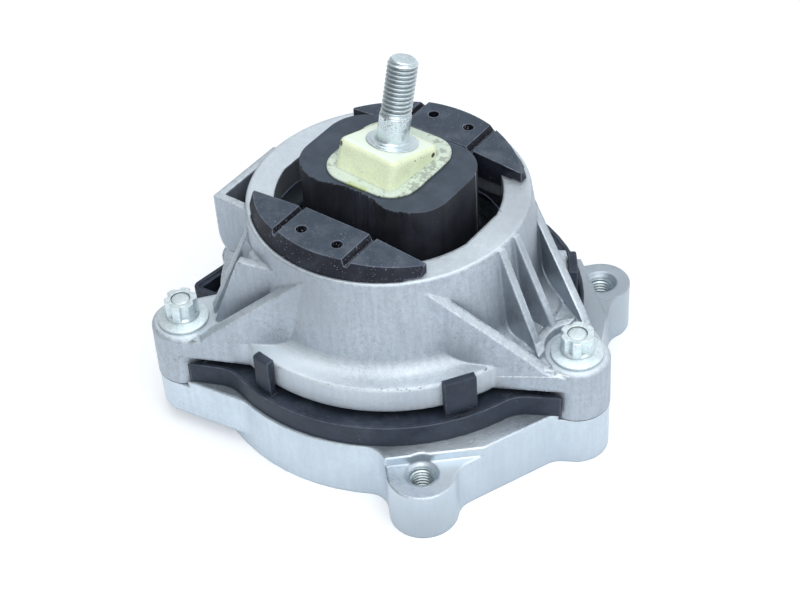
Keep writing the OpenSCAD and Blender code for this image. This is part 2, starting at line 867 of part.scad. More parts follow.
module carrier_plan(inset) {
    lug_gap = lug_r + carrier_lug_gap + inset;
    difference() {
        offset(delta = -inset)
            union() {
                filleted(14) {
                    circle(carrier_r);
                    each_bolt()
                        arm_plan(arm_root_r + 2, lug_r + 1);
                }
                eyelet_plan();
            }
        each_bolt() {
            translate([bolt_circle_r, 0])
                circle(lug_gap);
            translate([bolt_circle_r, -lug_gap])
                square([3 * lug_r, 2 * lug_gap]);
        }
    }
}

module clip(width) {
    inner = flange_r + clip_gap;
    top = flange_top + hook_t;
    intersection() {
        rotate_extrude()
            polygon(rounded([
                [inner, carrier_top - deck_depth, 0], [inner + clip_t, carrier_top - deck_depth, 0],
                [inner + clip_t, top, 1], [flange_r - hook_reach + 1, top, 0],
                [flange_r - hook_reach, top - hook_t / 2, 0],
                [flange_r - hook_reach, flange_top + fit_gap, 0],
                [inner, flange_top + fit_gap, 0]], 4));
        translate([0, -width / 2, 0])
            cube([2 * carrier_r, width, rim_z]);
    }
}

module clip_pad(width) {
    translate([flange_r, -width / 2])
        square([clip_t + clip_gap, width]);
}

module clip_carrier() {
    color("#3c434d")
    difference() {
        union() {
            translate([0, 0, ledge_z])
                linear_extrude(carrier_h)
                    difference() {
                        carrier_plan(0);
                        circle(unit_r + unit_gap);
                    }
            for (side = [-1, 1]) {
                rotate(side * clip_angle)
                    clip(clip_w);
                rotate(side * slim_clip_angle)
                    clip(slim_clip_w);
            }
        }
        // Shallow step inside the rim
        translate([0, 0, carrier_top - carrier_step])
            linear_extrude(lug_h)
                difference() {
                    carrier_plan(rim_lip);
                    for (side = [-1, 1]) {
                        rotate(side * clip_angle)
                            clip_pad(clip_w);
                        rotate(side * slim_clip_angle)
                            clip_pad(slim_clip_w);
                    }
                }
        // Pocket of the eyelet
        translate([0, 0, ledge_z + eyelet_floor])
            linear_extrude(carrier_h)
                offset(delta = -eyelet_wall)
                    eyelet_plan();
        // Hollow under its deck
        translate([0, 0, base_h])
            linear_extrude(carrier_top - base_h - deck_depth)
                difference() {
                    carrier_plan(carrier_wall);
                    circle(unit_r + unit_gap + carrier_wall);
                    eyelet_plan();
                }
    }
}

// Stop buffers

module stop_buffer() {
    difference() {
        intersection() {
            union() {
                translate([0, 0, buffer_floor_z + seat_film])
                    linear_extrude(buffer_seat_depth + buffer_rise)
                        buffer_plan(buffer_r, seat_half_x);
                translate([0, 0, rim_z + fit_gap])
                    linear_extrude(buffer_rise)
                        buffer_plan(buffer_r, seat_half_x + shoulder);
            }
            // Outside tapers inwards above the rim, and the tips fall away
            union() {
                cylinder(r = buffer_r, h = rim_z);
                translate([0, 0, rim_z])
                    cylinder(r1 = buffer_r, r2 = buffer_r - buffer_draft, h = buffer_rise);
            }
            translate([0, 0, buffer_top])
                rotate([90, 0, 0])
                    linear_extrude(buffer_r)
                        polygon([[-opening_r, -buffer_r], [opening_r, -buffer_r], [opening_r, -tip_drop],
                                 [groove_x, -middle_step], [groove_x - middle_step, 0],
                                 [middle_step - groove_x, 0], [-groove_x, -middle_step],
                                 [-opening_r, -tip_drop]]);
        }
        for (side = [-1, 1]) {
            translate([side * groove_x, 0, buffer_top])
                rotate([90, 0, 0])
                    linear_extrude(buffer_r + over)
                        polygon([[-groove_w / 2, over / 2], [groove_w / 2, over / 2],
                                 [groove_foot / 2, -groove_depth], [-groove_foot / 2, -groove_depth]]);
            translate([side * dimple_x, -dimple_y, buffer_top - dimple_depth])
                cylinder(d = dimple_d, h = dimple_depth + over, $fn = 32);
        }
    }
}

module front_stop_buffer() {
    color("#363c45")
    stop_buffer();
}

module rear_stop_buffer() {
    color("#363c45")
    rotate(180)
        stop_buffer();
}

// Core, stud and spring

module along_core() {
    translate([core_place.x, core_place.y, spring_top])
        rotate([-core_lean, core_side_lean, 0])
            rotate(core_turn)
                translate([0, 0, core_rise])
                    children();
}

// Block with rounded upper edges, drawn as a stack of thin layers under one skin
module core_body() {
    along_core() {
        translate([core_shift.x, core_shift.y, 0])
            hull() {
                for (a = [0:18:90])
                    translate([0, 0, core_edge_r * (sin(a) - 1) - layer_t])
                        linear_extrude(layer_t)
                            offset(delta = core_edge_r * (cos(a) - 1))
                                rounded_rect(core_x, core_y, core_corner);
                translate([0, 0, -core_block_h])
                    linear_extrude(layer_t)
                        rounded_rect(core_x + core_draft, core_y + core_draft, core_corner);
            }
        translate([0, 0, -core_block_h - core_stem_h])
            cylinder(r1 = core_x / 3, r2 = core_x / 2 - 1, h = core_stem_h + over);
    }
}

module skirt_body() {
    translate([skirt_shift.x, skirt_shift.y, spring_top])
        linear_extrude(skirt_t)
            rounded_rect(skirt_x, skirt_y, skirt_corner);
}

module core_block() {
    color("#dfe6c4")
    difference() {
        union() {
            core_body();
            skirt_body();
        }
        stud_body();
    }
}

module stud_body() {
    shank_r = shank_d / 2;
    collar_top = collar_t - collar_sink;
    along_core() {
        rotate_extrude()
            polygon(rounded([
                [0, -stud_root, 0], [shank_r, -stud_root, 0], [shank_r, -collar_sink, 0],
                [collar_d / 2, -collar_sink, 0], [collar_d / 2, collar_top, 0.4],
                [shank_r, collar_top, collar_flare], [shank_r, shank_len, 0], [0, shank_len, 0]]));
        translate([0, 0, shank_len])
            cylinder(d = stud_d, h = stud_thread_len - tip_chamfer);
        translate([0, 0, shank_len + stud_thread_len - tip_chamfer])
            cylinder(d1 = stud_d, d2 = stud_d - 2 * tip_chamfer + 0.2, h = tip_chamfer);
        translate([0, 0, -stud_root])
            cylinder(d = root_head_d, h = root_head_h, $fn = 6);
    }
}

module stud() {
    color("#cfd6da")
    stud_body();
}

module spring_block() {
    translate([spring_shift.x, spring_shift.y, block_foot_z])
        linear_extrude(spring_top - block_foot_z)
            rounded_rect(spring_x, spring_y, spring_corner);
}

module rubber_spring() {
    color("#2b2d33")
    difference() {
        union() {
            spring_block();
            rotate_extrude()
                polygon([[0, ring_z + 1], [unit_r - ring_foot_w, ring_z + 1], [unit_r - ring_top_w, ring_top],
                         [unit_r - ring_top_w - 1, ring_top + 1.4], [flare_top_r, flare_top_z],
                         [0, flare_top_z + 2]]);
        }
        // Fluid chamber under the rubber
        rotate_extrude()
            polygon(rounded([[0, ring_z, 0], [unit_r - ring_top_w + 0.5, ring_z, 0],
                             [unit_r - ring_top_w - 2.5, ring_z + chamber_h * 0.2, 3],
                             [unit_r * 0.39, ring_z + chamber_h * 0.84, 8], [0, ring_z + chamber_h, 0]]));
        core_body();
    }
}

module spring_ring() {
    color("#b9bec4")
    rotate_extrude()
        polygon([[unit_r - ring_foot_w, ring_z], [unit_r, ring_z], [unit_r, ring_top],
                 [unit_r - ring_top_w, ring_top], [unit_r - ring_foot_w, ring_z + 1]]);
}

// Round holes that let the fluid act on the membrane: rings of them about one in the middle
module plate_holes(h) {
    cylinder(d = plate_hole_d, h = h, $fn = 24);
    for (ring = [1:2], i = [0:4 * ring + 3])
        rotate(i * 360 / (4 * ring + 4))
            translate([ring * plate_hole_step, 0, 0])
                cylinder(d = plate_hole_d, h = h, $fn = 24);
}

module upper_track_plate() {
    color("#9aa0a8")
    difference() {
        translate([0, 0, upper_plate_z])
            cylinder(r = unit_r, h = upper_plate_t);
        // Damping channel, its port up to the spring's chamber, and the membrane's pocket
        translate([0, 0, upper_plate_z - over])
            rotate(track_start)
                rotate_extrude(angle = track_sweep)
                    translate([track_r - track_w / 2, 0])
                        square([track_w, track_depth + over]);
        rotate(track_start + port_step)
            translate([track_r, 0, upper_plate_z - over])
                cylinder(d = port_d, h = upper_plate_t + 2 * over);
        translate([0, 0, upper_plate_z - over])
            cylinder(r = membrane_r + 1, h = membrane_t / 2 + fit_gap + over);
        translate([0, 0, upper_plate_z - over])
            plate_holes(upper_plate_t + 2 * over);
    }
}

module lower_track_plate() {
    color("#8f959d")
    difference() {
        translate([0, 0, lower_plate_z])
            cylinder(r = unit_r, h = lower_plate_t);
        translate([0, 0, upper_plate_z - membrane_t / 2 - fit_gap])
            cylinder(r = membrane_r + 1, h = membrane_t);
        translate([0, 0, lower_plate_z - over])
            plate_holes(lower_plate_t + 2 * over);
        rotate(track_start + track_sweep - port_step)
            translate([track_r, 0, lower_plate_z - over])
                cylinder(d = port_d, h = lower_plate_t + 2 * over);
        // Hollow over the bellows
        translate([0, 0, lower_plate_z - over])
            cylinder(r1 = bowl_r - 3, r2 = bowl_r - 6, h = plate_dish + over);
    }
}

module decoupler_membrane() {
    color("#26282c")
    translate([0, 0, upper_plate_z - membrane_t / 2])
        difference() {
            cylinder(r = membrane_r, h = membrane_t);
            for (z = [-over, membrane_t - disc_recess])
                translate([0, 0, z])
                    difference() {
                        cylinder(r = membrane_r - 2, h = disc_recess + over);
                        translate([0, 0, -over])
                            cylinder(r = membrane_t, h = disc_recess + 3 * over);
                    }
        }
}

// Deep folded cup with a bead round its edge
module bellows() {
    low = unit_z - bellows_depth;
    fold = unit_z - fold_drop;
    side_t = bellows_t / 2;
    color("#26282c")
    rotate_extrude()
        polygon(rounded([
            [0, low, 0], [fold_r - fold_w, low, 3], [fold_r - fold_w / 2, fold, 3],
            [fold_r + fold_w / 2, fold, 3], [fold_r + fold_w, low, 3], [bowl_r - bellows_inset, low, 3],
            [bowl_r - 2, unit_z, 0], [unit_r - bead_w, unit_z, 0], [unit_r - bead_w, unit_z + bead_t, 0],
            [bowl_r - 2 - side_t, unit_z + bead_t, 0],
            [bowl_r - bellows_inset - bellows_t, low + bellows_t, 2],
            [fold_r + fold_w + side_t, low + bellows_t, 2],
            [fold_r + fold_w / 2 + side_t, fold + bellows_t, 3],
            [fold_r - fold_w / 2 - side_t, fold + bellows_t, 3],
            [fold_r - fold_w - side_t, low + bellows_t, 2], [0, low + bellows_t, 0]], 4));
}

module bellows_ring() {
    color("#aeb4ba")
    translate([0, 0, unit_z])
        difference() {
            cylinder(r = unit_r, h = bead_t);
            translate([0, 0, -over])
                cylinder(r = unit_r - bead_w, h = bead_t + 2 * over);
        }
}

base_bracket();
upper_housing();
housing_bolts();
clip_carrier();
front_stop_buffer();
rear_stop_buffer();
rubber_spring();
core_block();
stud();
spring_ring();
upper_track_plate();
lower_track_plate();
decoupler_membrane();
bellows();
bellows_ring();
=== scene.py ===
"""Dresses a hydraulic engine mount: cast housings, zinc-plated steel, moulded rubber and plastic."""
import json
import math

import bpy
from bpy.props import FloatProperty, FloatVectorProperty, IntProperty, PointerProperty
from mathutils import Matrix, Vector, noise


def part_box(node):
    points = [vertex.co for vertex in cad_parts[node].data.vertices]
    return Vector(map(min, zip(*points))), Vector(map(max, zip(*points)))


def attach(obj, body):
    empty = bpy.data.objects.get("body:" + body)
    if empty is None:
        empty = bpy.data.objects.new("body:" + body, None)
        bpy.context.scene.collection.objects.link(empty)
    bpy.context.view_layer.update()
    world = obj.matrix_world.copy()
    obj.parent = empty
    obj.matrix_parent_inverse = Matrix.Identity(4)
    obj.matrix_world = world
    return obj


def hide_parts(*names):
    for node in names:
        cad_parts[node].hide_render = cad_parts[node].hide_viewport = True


bl_info = {
    "name": "Hydraulic Engine Mount",
    "version": (1, 0, 0),
    "blender": (4, 5, 0),
    "location": "View3D > Sidebar > Mount",
    "description": "Finishes the castings, steel, rubber and plastic of a hydraulic engine mount",
    "category": "Object",
}

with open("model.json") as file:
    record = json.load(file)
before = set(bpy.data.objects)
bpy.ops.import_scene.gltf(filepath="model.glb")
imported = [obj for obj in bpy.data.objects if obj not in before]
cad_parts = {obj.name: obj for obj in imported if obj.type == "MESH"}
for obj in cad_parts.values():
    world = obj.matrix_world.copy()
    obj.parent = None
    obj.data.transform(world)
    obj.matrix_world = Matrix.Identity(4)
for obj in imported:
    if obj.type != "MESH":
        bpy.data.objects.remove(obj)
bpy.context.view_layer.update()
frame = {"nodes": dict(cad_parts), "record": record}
MM = 0.001


# Settings

class CastingSettings(bpy.types.PropertyGroup):
    """Finish of the two die castings"""
    housing: FloatVectorProperty(name="Housing colour", description="Colour of the upper housing's cast skin",
                                 subtype="COLOR", default=(0.458, 0.515, 0.580), min=0, max=1)
    base: FloatVectorProperty(name="Base colour", description="Colour of the base bracket's cast skin",
                              subtype="COLOR", default=(0.615, 0.702, 0.785), min=0, max=1)
    # Also used for the painted highlights on edges, bands and spots
    bright: FloatVectorProperty(name="Bright colour", description="Colour of rubbed edges and machined faces",
                                subtype="COLOR", default=(0.82, 0.90, 0.97), min=0, max=1)
    edge_radius: FloatProperty(name="Edge radius", description="Rounding that softens every cast edge",
                               subtype="DISTANCE", unit="LENGTH", default=0.0017, min=0, max=0.004)
    grain: FloatProperty(name="Grain depth", description="Strength of the cast skin's relief",
                         default=0.5, min=0, max=1)


class SteelSettings(bpy.types.PropertyGroup):
    """Finish and thread of the zinc-plated steel"""
    tone: FloatVectorProperty(name="Zinc colour", description="Colour of the bright zinc plate",
                              subtype="COLOR", default=(0.72, 0.82, 0.86), min=0, max=1)
    stud_pitch: FloatProperty(name="Stud pitch", description="Pitch of the stud's thread",
                              subtype="DISTANCE", unit="LENGTH", default=0.00175, min=0.001, max=0.003)
    hole_pitch: FloatProperty(name="Hole pitch", description="Pitch of the threads in the base",
                              subtype="DISTANCE", unit="LENGTH", default=0.0015, min=0.001, max=0.003)
    shank: FloatProperty(name="Shank length", description="Plain length between collar and thread",
                         subtype="DISTANCE", unit="LENGTH", default=0.012, min=0.005, max=0.02)


class RubberSettings(bpy.types.PropertyGroup):
    """Finish of the rubber and the plastic"""
    spring_tone: FloatVectorProperty(name="Spring colour", description="Colour of the spring's moulded side",
                                     subtype="COLOR", default=(0.012, 0.014, 0.020), min=0, max=1)
    # The spring's lighter top: painted light from above
    spring_top: FloatVectorProperty(name="Spring top colour", description="Colour of the spring's flat top",
                                    subtype="COLOR", default=(0.052, 0.070, 0.096), min=0, max=1)
    buffer_tone: FloatVectorProperty(name="Buffer colour", description="Colour of the stop buffers",
                                     subtype="COLOR", default=(0.010, 0.012, 0.022), min=0, max=1)
    # The buffers' lighter tops: painted light from above, with some dust
    buffer_top: FloatVectorProperty(name="Buffer top colour", description="Colour of the buffers' dusty tops",
                                    subtype="COLOR", default=(0.050, 0.068, 0.096), min=0, max=1)
    carrier_tone: FloatVectorProperty(name="Carrier colour", description="Colour of the clip carrier",
                                      subtype="COLOR", default=(0.026, 0.036, 0.056), min=0, max=1)
    core_tone: FloatVectorProperty(name="Core colour", description="Colour of the coated core block",
                                   subtype="COLOR", default=(0.81, 0.90, 0.63), min=0, max=1)
    segments: IntProperty(name="Spring segments", description="Points round the spring's outline",
                          default=600, min=96, max=768)


class StageSettings(bpy.types.PropertyGroup):
    """Camera and light"""
    azimuth: FloatProperty(name="Azimuth", description="Camera's angle round the mount",
                           subtype="ANGLE", unit="ROTATION", default=math.radians(38.59))
    elevation: FloatProperty(name="Elevation", description="Camera's angle above the floor",
                             subtype="ANGLE", unit="ROTATION", default=math.radians(41.39))
    roll: FloatProperty(name="Roll", description="Camera's turn about its own axis",
                        subtype="ANGLE", unit="ROTATION", default=math.radians(4.01))
    distance: FloatProperty(name="Distance", description="Camera's distance from its target",
                            subtype="DISTANCE", unit="LENGTH", default=0.72306, min=0.3, max=3)
    lens: FloatProperty(name="Lens", description="Focal length in millimetres", default=81, min=35, max=200)
    key_power: FloatProperty(name="Key power", description="Power of the main softbox",
                             subtype="POWER", default=11, min=0, max=100)
    fill: FloatProperty(name="World light", description="Strength of the even light from all round",
                        default=0.45, min=0, max=2)


# Node helpers

def add(tree, kind, inputs=None, **props):
    """Adds a shader node. An input's value may be a number, a colour or another node's socket."""
    made = tree.nodes.new("ShaderNode" + kind)
    for name, value in props.items():
        setattr(made, name, value)
    for name, value in (inputs or {}).items():
        feed(tree, made.inputs[name], value)
    return made


def feed(tree, socket, value):
    """Links a socket to another node's socket, or sets it to a plain value."""
    if isinstance(value, bpy.types.NodeSocket):
        tree.links.new(value, socket)
    else:
        socket.default_value = value


def maths(tree, operation, first, second=0.0, third=0.0, clamp=False):
    made = add(tree, "Math", {0: first, 1: second, 2: third}, operation=operation)
    made.use_clamp = clamp
    return made.outputs[0]


def product(tree, *values):
    """All the values multiplied together."""
    total = values[0]
    for value in values[1:]:
        total = maths(tree, "MULTIPLY", total, value)
    return total


def span(tree, value, low, high, to_low=0.0, to_high=1.0):
    """Maps value from low..high to to_low..to_high, held at both ends."""
    return add(tree, "MapRange",
               {"Value": value, "From Min": low, "From Max": high, "To Min": to_low, "To Max": to_high}
               ).outputs["Result"]


def vectors(tree, operation, first, second=None, result="Value"):
    """Vector maths on one or two vectors; result is Value or Vector."""
    inputs = {0: first} if second is None else {0: first, 1: second}
    return add(tree, "VectorMath", inputs, operation=operation).outputs[result]


def mixed(tree, factor, first, second):
    made = add(tree, "Mix", data_type="RGBA")
    for socket, value in ((made.inputs[0], factor), (made.inputs[6], first), (made.inputs[7], second)):
        feed(tree, socket, value)
    return made.outputs[2]


def over(tree, body, colour, *masks):
    """Lays a colour over the body, as strongly as the masks and weights multiplied together."""
    return mixed(tree, product(tree, *masks), body, colour)


def rgba(colour, gain=1.0):
    return (*[min(c * gain, 1.0) for c in colour[:3]], 1.0)


def noise_at(tree, vector, scale, detail=2.0, roughness=0.5):
    return add(tree, "TexNoise",
               {"Vector": vector, "Scale": scale, "Detail": detail, "Roughness": roughness}).outputs["Fac"]


def stretched(tree, vector, scale):
    return add(tree, "Mapping", {"Vector": vector, "Scale": scale}).outputs["Vector"]


def component(tree, vector, axis):
    return add(tree, "SeparateXYZ", {0: vector}).outputs[axis]


def group(name, inputs, outputs):
    """A shader node group; returns its tree and its two end nodes.

    inputs maps each name to its default, None for a vector. The output Normal is a vector too.
    """
    tree = bpy.data.node_groups.new(name, "ShaderNodeTree")
    for label, default in inputs.items():
        kind = "NodeSocketVector" if default is None else "NodeSocketFloat"
        socket = tree.interface.new_socket(name=label, in_out="INPUT", socket_type=kind)
        if default is not None:
            socket.default_value = default
    for label in outputs:
        kind = "NodeSocketVector" if label == "Normal" else "NodeSocketFloat"
        tree.interface.new_socket(name=label, in_out="OUTPUT", socket_type=kind)
    return tree, tree.nodes.new("NodeGroupInput"), tree.nodes.new("NodeGroupOutput")


def use(tree, name, inputs=None):
    made = tree.nodes.new("ShaderNodeGroup")
    made.node_tree = bpy.data.node_groups[name]
    for label, value in (inputs or {}).items():
        feed(tree, made.inputs[label], value)
    return made.outputs


# Shared effects

def skin_group():
    """Fine skin of a casting or a moulding: tone, relief, small pits and bright grains."""
    tree, start, end = group(
        "Fine skin", {"Vector": None, "Grain Scale": 1300.0, "Mottle Scale": 430.0, "Pits": 0.5},
        ("Tone", "Height", "Pit", "Sparkle"))
    vector = start.outputs["Vector"]
    fine = noise_at(tree, vector, start.outputs["Grain Scale"], 3.0, 0.65)
    mottle = noise_at(tree, vector, start.outputs["Mottle Scale"], 4.0, 0.6)
    cells = add(tree, "TexVoronoi", {"Vector": vector, "Scale": 760.0})
    near = span(tree, cells.outputs["Distance"], 0.16, 0.36, 1.0, 0.0)
    where = span(tree, noise_at(tree, vector, 65.0, 3.0), 0.63, 0.72)
    pit = maths(tree, "MULTIPLY", product(tree, near, where), start.outputs["Pits"], clamp=True)
    grains = noise_at(tree, vector, 2100.0, 1.0)
    sparkle = span(tree, grains, 0.66, 0.78)
    blend = maths(tree, "MULTIPLY_ADD", mottle, 0.45, product(tree, fine, 0.55))
    height = maths(tree, "SUBTRACT", blend, product(tree, pit, 0.9))
    for label, value in (("Tone", blend), ("Height", height), ("Pit", pit), ("Sparkle", sparkle)):
        tree.links.new(value, end.inputs[label])


def edge_group():
    """Rounds every edge for the light, and marks where the edges are."""
    tree, start, end = group("Soft edge", {"Radius": 0.001}, ("Normal", "Edge"))
    bevel = add(tree, "Bevel", {"Radius": start.outputs["Radius"]}, samples=8)
    flat = add(tree, "NewGeometry")
    cosine = vectors(tree, "DOT_PRODUCT", bevel.outputs[0], flat.outputs["Normal"])
    tree.links.new(bevel.outputs[0], end.inputs["Normal"])
    tree.links.new(span(tree, cosine, 0.99, 0.82), end.inputs["Edge"])


def dust_group():
    """Pale specks scattered in clusters."""
    tree, start, end = group("Dust specks", {"Vector": None, "Scale": 1500.0, "Cover": 0.5}, ("Mask",))
    vector = start.outputs["Vector"]
    grains = noise_at(tree, vector, start.outputs["Scale"], 1.0)
    cluster = noise_at(tree, vector, 130.0, 3.0, 0.7)
    reach = maths(tree, "MULTIPLY_ADD", cluster, 0.55, start.outputs["Cover"])
    cut = maths(tree, "SUBTRACT", 1.02, product(tree, reach, 0.50))
    here = span(tree, maths(tree, "SUBTRACT", grains, cut), 0.0, 0.10)
    tree.links.new(here, end.inputs["Mask"])


def recess_group():
    """Marks narrow corners and pockets, where little light gets in."""
    tree, start, end = group("Recess", {"Reach": 0.01}, ("Mask",))
    shade = add(tree, "AmbientOcclusion", {"Distance": start.outputs["Reach"]}, samples=8)
    tree.links.new(span(tree, shade.outputs["AO"], 0.9, 0.3), end.inputs["Mask"])


def streak_group():
    """Long soft lines along the object's height, as a mould or a wipe leaves them."""
    tree, start, end = group("Upright streaks", {"Vector": None, "Scale": 300.0, "Length": 0.06}, ("Mask",))
    scale = add(tree, "CombineXYZ", {"X": 1.0, "Y": 1.0, "Z": start.outputs["Length"]})
    tall = vectors(tree, "MULTIPLY", start.outputs["Vector"], scale.outputs[0], "Vector")
    lines = noise_at(tree, tall, start.outputs["Scale"], 3.0, 0.6)
    tree.links.new(span(tree, lines, 0.40, 0.66), end.inputs["Mask"])


# Materials

def begin(name, **principled):
    """A new material with its Principled shader set; returns tree, shader and object coordinates."""
    made = bpy.data.materials.new(name)
    made.use_nodes = True
    tree = made.node_tree
    shader = tree.nodes["Principled BSDF"]
    for label, value in principled.items():
        shader.inputs[label.replace("_", " ").title().replace("Ior", "IOR")].default_value = value
    coords = add(tree, "TexCoord").outputs["Object"]
    return made, tree, shader, coords


def finish(tree, shader, colour, skin, soft, rough, strength, distance, low=0.36):
    """Feeds the shader its colour, a roughness that follows the skin, and a bump over the softened normal."""
    tree.links.new(colour, shader.inputs["Base Color"])
    tree.links.new(span(tree, skin["Tone"], low, 1 - low, *rough), shader.inputs["Roughness"])
    bump = add(tree, "Bump", {"Height": skin["Height"], "Strength": strength, "Distance": distance,
                                        "Normal": soft["Normal"]})
    tree.links.new(bump.outputs["Normal"], shader.inputs["Normal"])


def facing_up(tree, normal=None, low=0.9, high=0.97):
    """Marks faces that look up, from none where the normal's height is low to full where it is high."""
    if normal is None:
        normal = add(tree, "NewGeometry").outputs["True Normal"]
    return span(tree, component(tree, normal, "Z"), low, high)


def at_point(tree, coords, point, radius, ragged=0.3, inner=0.8):
    """Marks a spot, given in millimetres. ragged breaks its edge up; inner is the share that is full."""
    size = radius * MM
    away = vectors(tree, "DISTANCE", coords, [p * MM for p in point])
    wobble = product(tree, noise_at(tree, coords, 900.0, 2.0), size * ragged * 2)
    return span(tree, maths(tree, "ADD", away, wobble), size * inner, size * 1.15, 1.0, 0.0)


def cast_material(name, cast, tone, rough, top, lift, texture=1.0, machined=(), nicks=None, shade_spots=(),
                  sheen=(), edge_band=None, foot=None, parting=None):
    """Die-cast aluminium, whose upward faces lean to the top colour by lift: painted light from above where
    that colour is lighter, painted shade where it is darker.

    Levels in metres: machined faces are cut bright, nicks is a nicked edge and foot a dark joint line.
    edge_band is a painted highlight band, as low, high and outer radius. parting is a light line, as slope,
    level, start along X and limit along Y. The two lists of spots are painted shade, darker, and painted
    highlights, brighter, as point and radius in millimetres and weight.
    """
    made, tree, shader, coords = begin(name, metallic=0.85)
    skin = use(tree, "Fine skin", {"Vector": coords, "Pits": 0.7})
    soft = use(tree, "Soft edge", {"Radius": cast.edge_radius})
    pocket = use(tree, "Recess", {"Reach": 0.018})["Mask"]
    streaks = use(tree, "Upright streaks", {"Vector": coords, "Scale": 520.0, "Length": 0.12})["Mask"]
    height = component(tree, coords, "Z")
    bright = rgba(cast.bright)
    grainy = span(tree, skin["Tone"], 0.38, 0.62)
    cloud = span(tree, noise_at(tree, coords, 34.0, 3.0, 0.6), 0.38, 0.62)
    body = mixed(tree, grainy, rgba(tone, 1 - 0.22 * texture), rgba(tone, 1 + 0.15 * texture))
    body = over(tree, body, rgba(tone, 0.80), cloud, 0.5)
    body = over(tree, body, rgba(tone, 1.34), streaks, 0.26 * texture)
    body = over(tree, body, bright, skin["Sparkle"], 0.40 * texture)
    # Upward faces lean to the top colour: painted light from above where it is lighter, painted shade where
    # it is darker
    up = facing_up(tree, soft["Normal"], 0.25, 0.95)
    body = over(tree, body, mixed(tree, grainy, rgba(top, 0.82), rgba(top, 1.10)), up, lift)
    for level in machined:
        cut = maths(tree, "COMPARE", height, level, 0.0004)
        body = over(tree, body, bright, cut, facing_up(tree), 0.5)
    # Darker in pockets and corners: painted shade
    body = over(tree, body, rgba(tone, 0.38), pocket, 0.30)
    # Paler edges outside the pockets: partly rubbed wear, partly painted highlight
    outer = span(tree, pocket, 0.12, 0.42, 1.0, 0.0)
    body = over(tree, body, bright, soft["Edge"], outer, span(tree, skin["Tone"], 0.42, 0.58, 0.15, 0.85))
    body = over(tree, body, rgba(tone, 0.22), skin["Pit"], 0.75)
    # Bright band round the flange's outer side: painted highlight
    if edge_band:
        low, high, out = edge_band
        inside = maths(tree, "COMPARE", height, (low + high) / 2, (high - low) / 2)
        far = vectors(tree, "LENGTH", stretched(tree, coords, (1, 1, 0)))
        near = span(tree, far, out, out + 0.0035, 1.0, 0.0)
        body = over(tree, body, bright, inside, near, 0.38)
    if foot:
        joint = maths(tree, "COMPARE", height, foot + 0.0002, 0.00024)
        body = over(tree, body, rgba(tone, 0.15), joint, 0.75)
    if parting:
        slope, level, begins, limit = parting
        along = component(tree, coords, "X")
        rise = maths(tree, "MULTIPLY_ADD", along, -slope, height)
        body = over(tree, body, rgba(cast.bright, 1.15), maths(tree, "COMPARE", rise, level, 0.00024),
                    span(tree, along, begins, begins + 0.002),
                    maths(tree, "LESS_THAN", component(tree, coords, "Y"), limit),
                    span(tree, skin["Tone"], 0.42, 0.58, 0.35, 0.95))
    # Brighter spots on upward faces: painted highlights
    for point, radius, weight in sheen:
        light = at_point(tree, coords, point, radius, ragged=0.0, inner=0.3)
        body = over(tree, body, rgba(cast.bright, 1.05), light, up, weight)
    # Darker spots: painted shade
    for point, radius, weight in shade_spots:
        dark = at_point(tree, coords, point, radius, ragged=0.0, inner=0.2)
        body = over(tree, body, rgba(tone, 0.66), dark, weight)
    if nicks:
        band = maths(tree, "COMPARE", height, nicks, 0.0005)
        tall = stretched(tree, coords, (1, 1, 2.5))
        torn = span(tree, noise_at(tree, tall, 330.0, 3.0, 0.7), 0.60, 0.64)
        body = over(tree, body, rgba(tone, 0.30), band, torn, 0.7)
    finish(tree, shader, body, skin, soft, (rough - 0.09, rough + 0.09), cast.grain, 0.0005, low=0.35)
    return made


def zinc_material(name, steel, rough, shade=1.0, specks=None, groove_shade=0.9, metallic=1.0):
    """Bright zinc plate. specks: a point, the axis through it, the dark band along it and one dark mark."""
    made, tree, shader, coords = begin(name, metallic=metallic)
    skin = use(tree, "Fine skin", {"Vector": coords, "Grain Scale": 2200.0, "Mottle Scale": 420.0,
                                   "Pits": 0.25})
    soft = use(tree, "Soft edge", {"Radius": 0.0005})
    pocket = use(tree, "Recess", {"Reach": 0.0022})["Mask"]
    patch = span(tree, skin["Tone"], 0.38, 0.62)
    tone = [c * shade for c in steel.tone]
    body = mixed(tree, patch, rgba(tone, 0.80), rgba(tone, 1.12))
    # Paler edges: painted highlight
    body = over(tree, body, rgba(tone, 1.35), soft["Edge"], 0.6)
    # Darker in grooves and pockets: painted shade
    body = over(tree, body, rgba(tone, 0.16), pocket, groove_shade)
    body = over(tree, body, rgba(tone, 0.3), skin["Pit"])
    if specks:
        base, axis, low, high, mark = specks
        along = vectors(tree, "DOT_PRODUCT", vectors(tree, "SUBTRACT", coords, base, "Vector"), axis)
        inside = maths(tree, "COMPARE", along, (low + high) / 2, (high - low) / 2)
        grains = span(tree, noise_at(tree, coords, 1500.0, 2.0, 0.7), 0.54, 0.60)
        body = over(tree, body, rgba(tone, 0.30), inside, grains, 0.62)
        body = over(tree, body, rgba(tone, 0.10), at_point(tree, coords, mark, 0.55))
    finish(tree, shader, body, skin, soft, rough, 0.25, 0.0002)
    return made


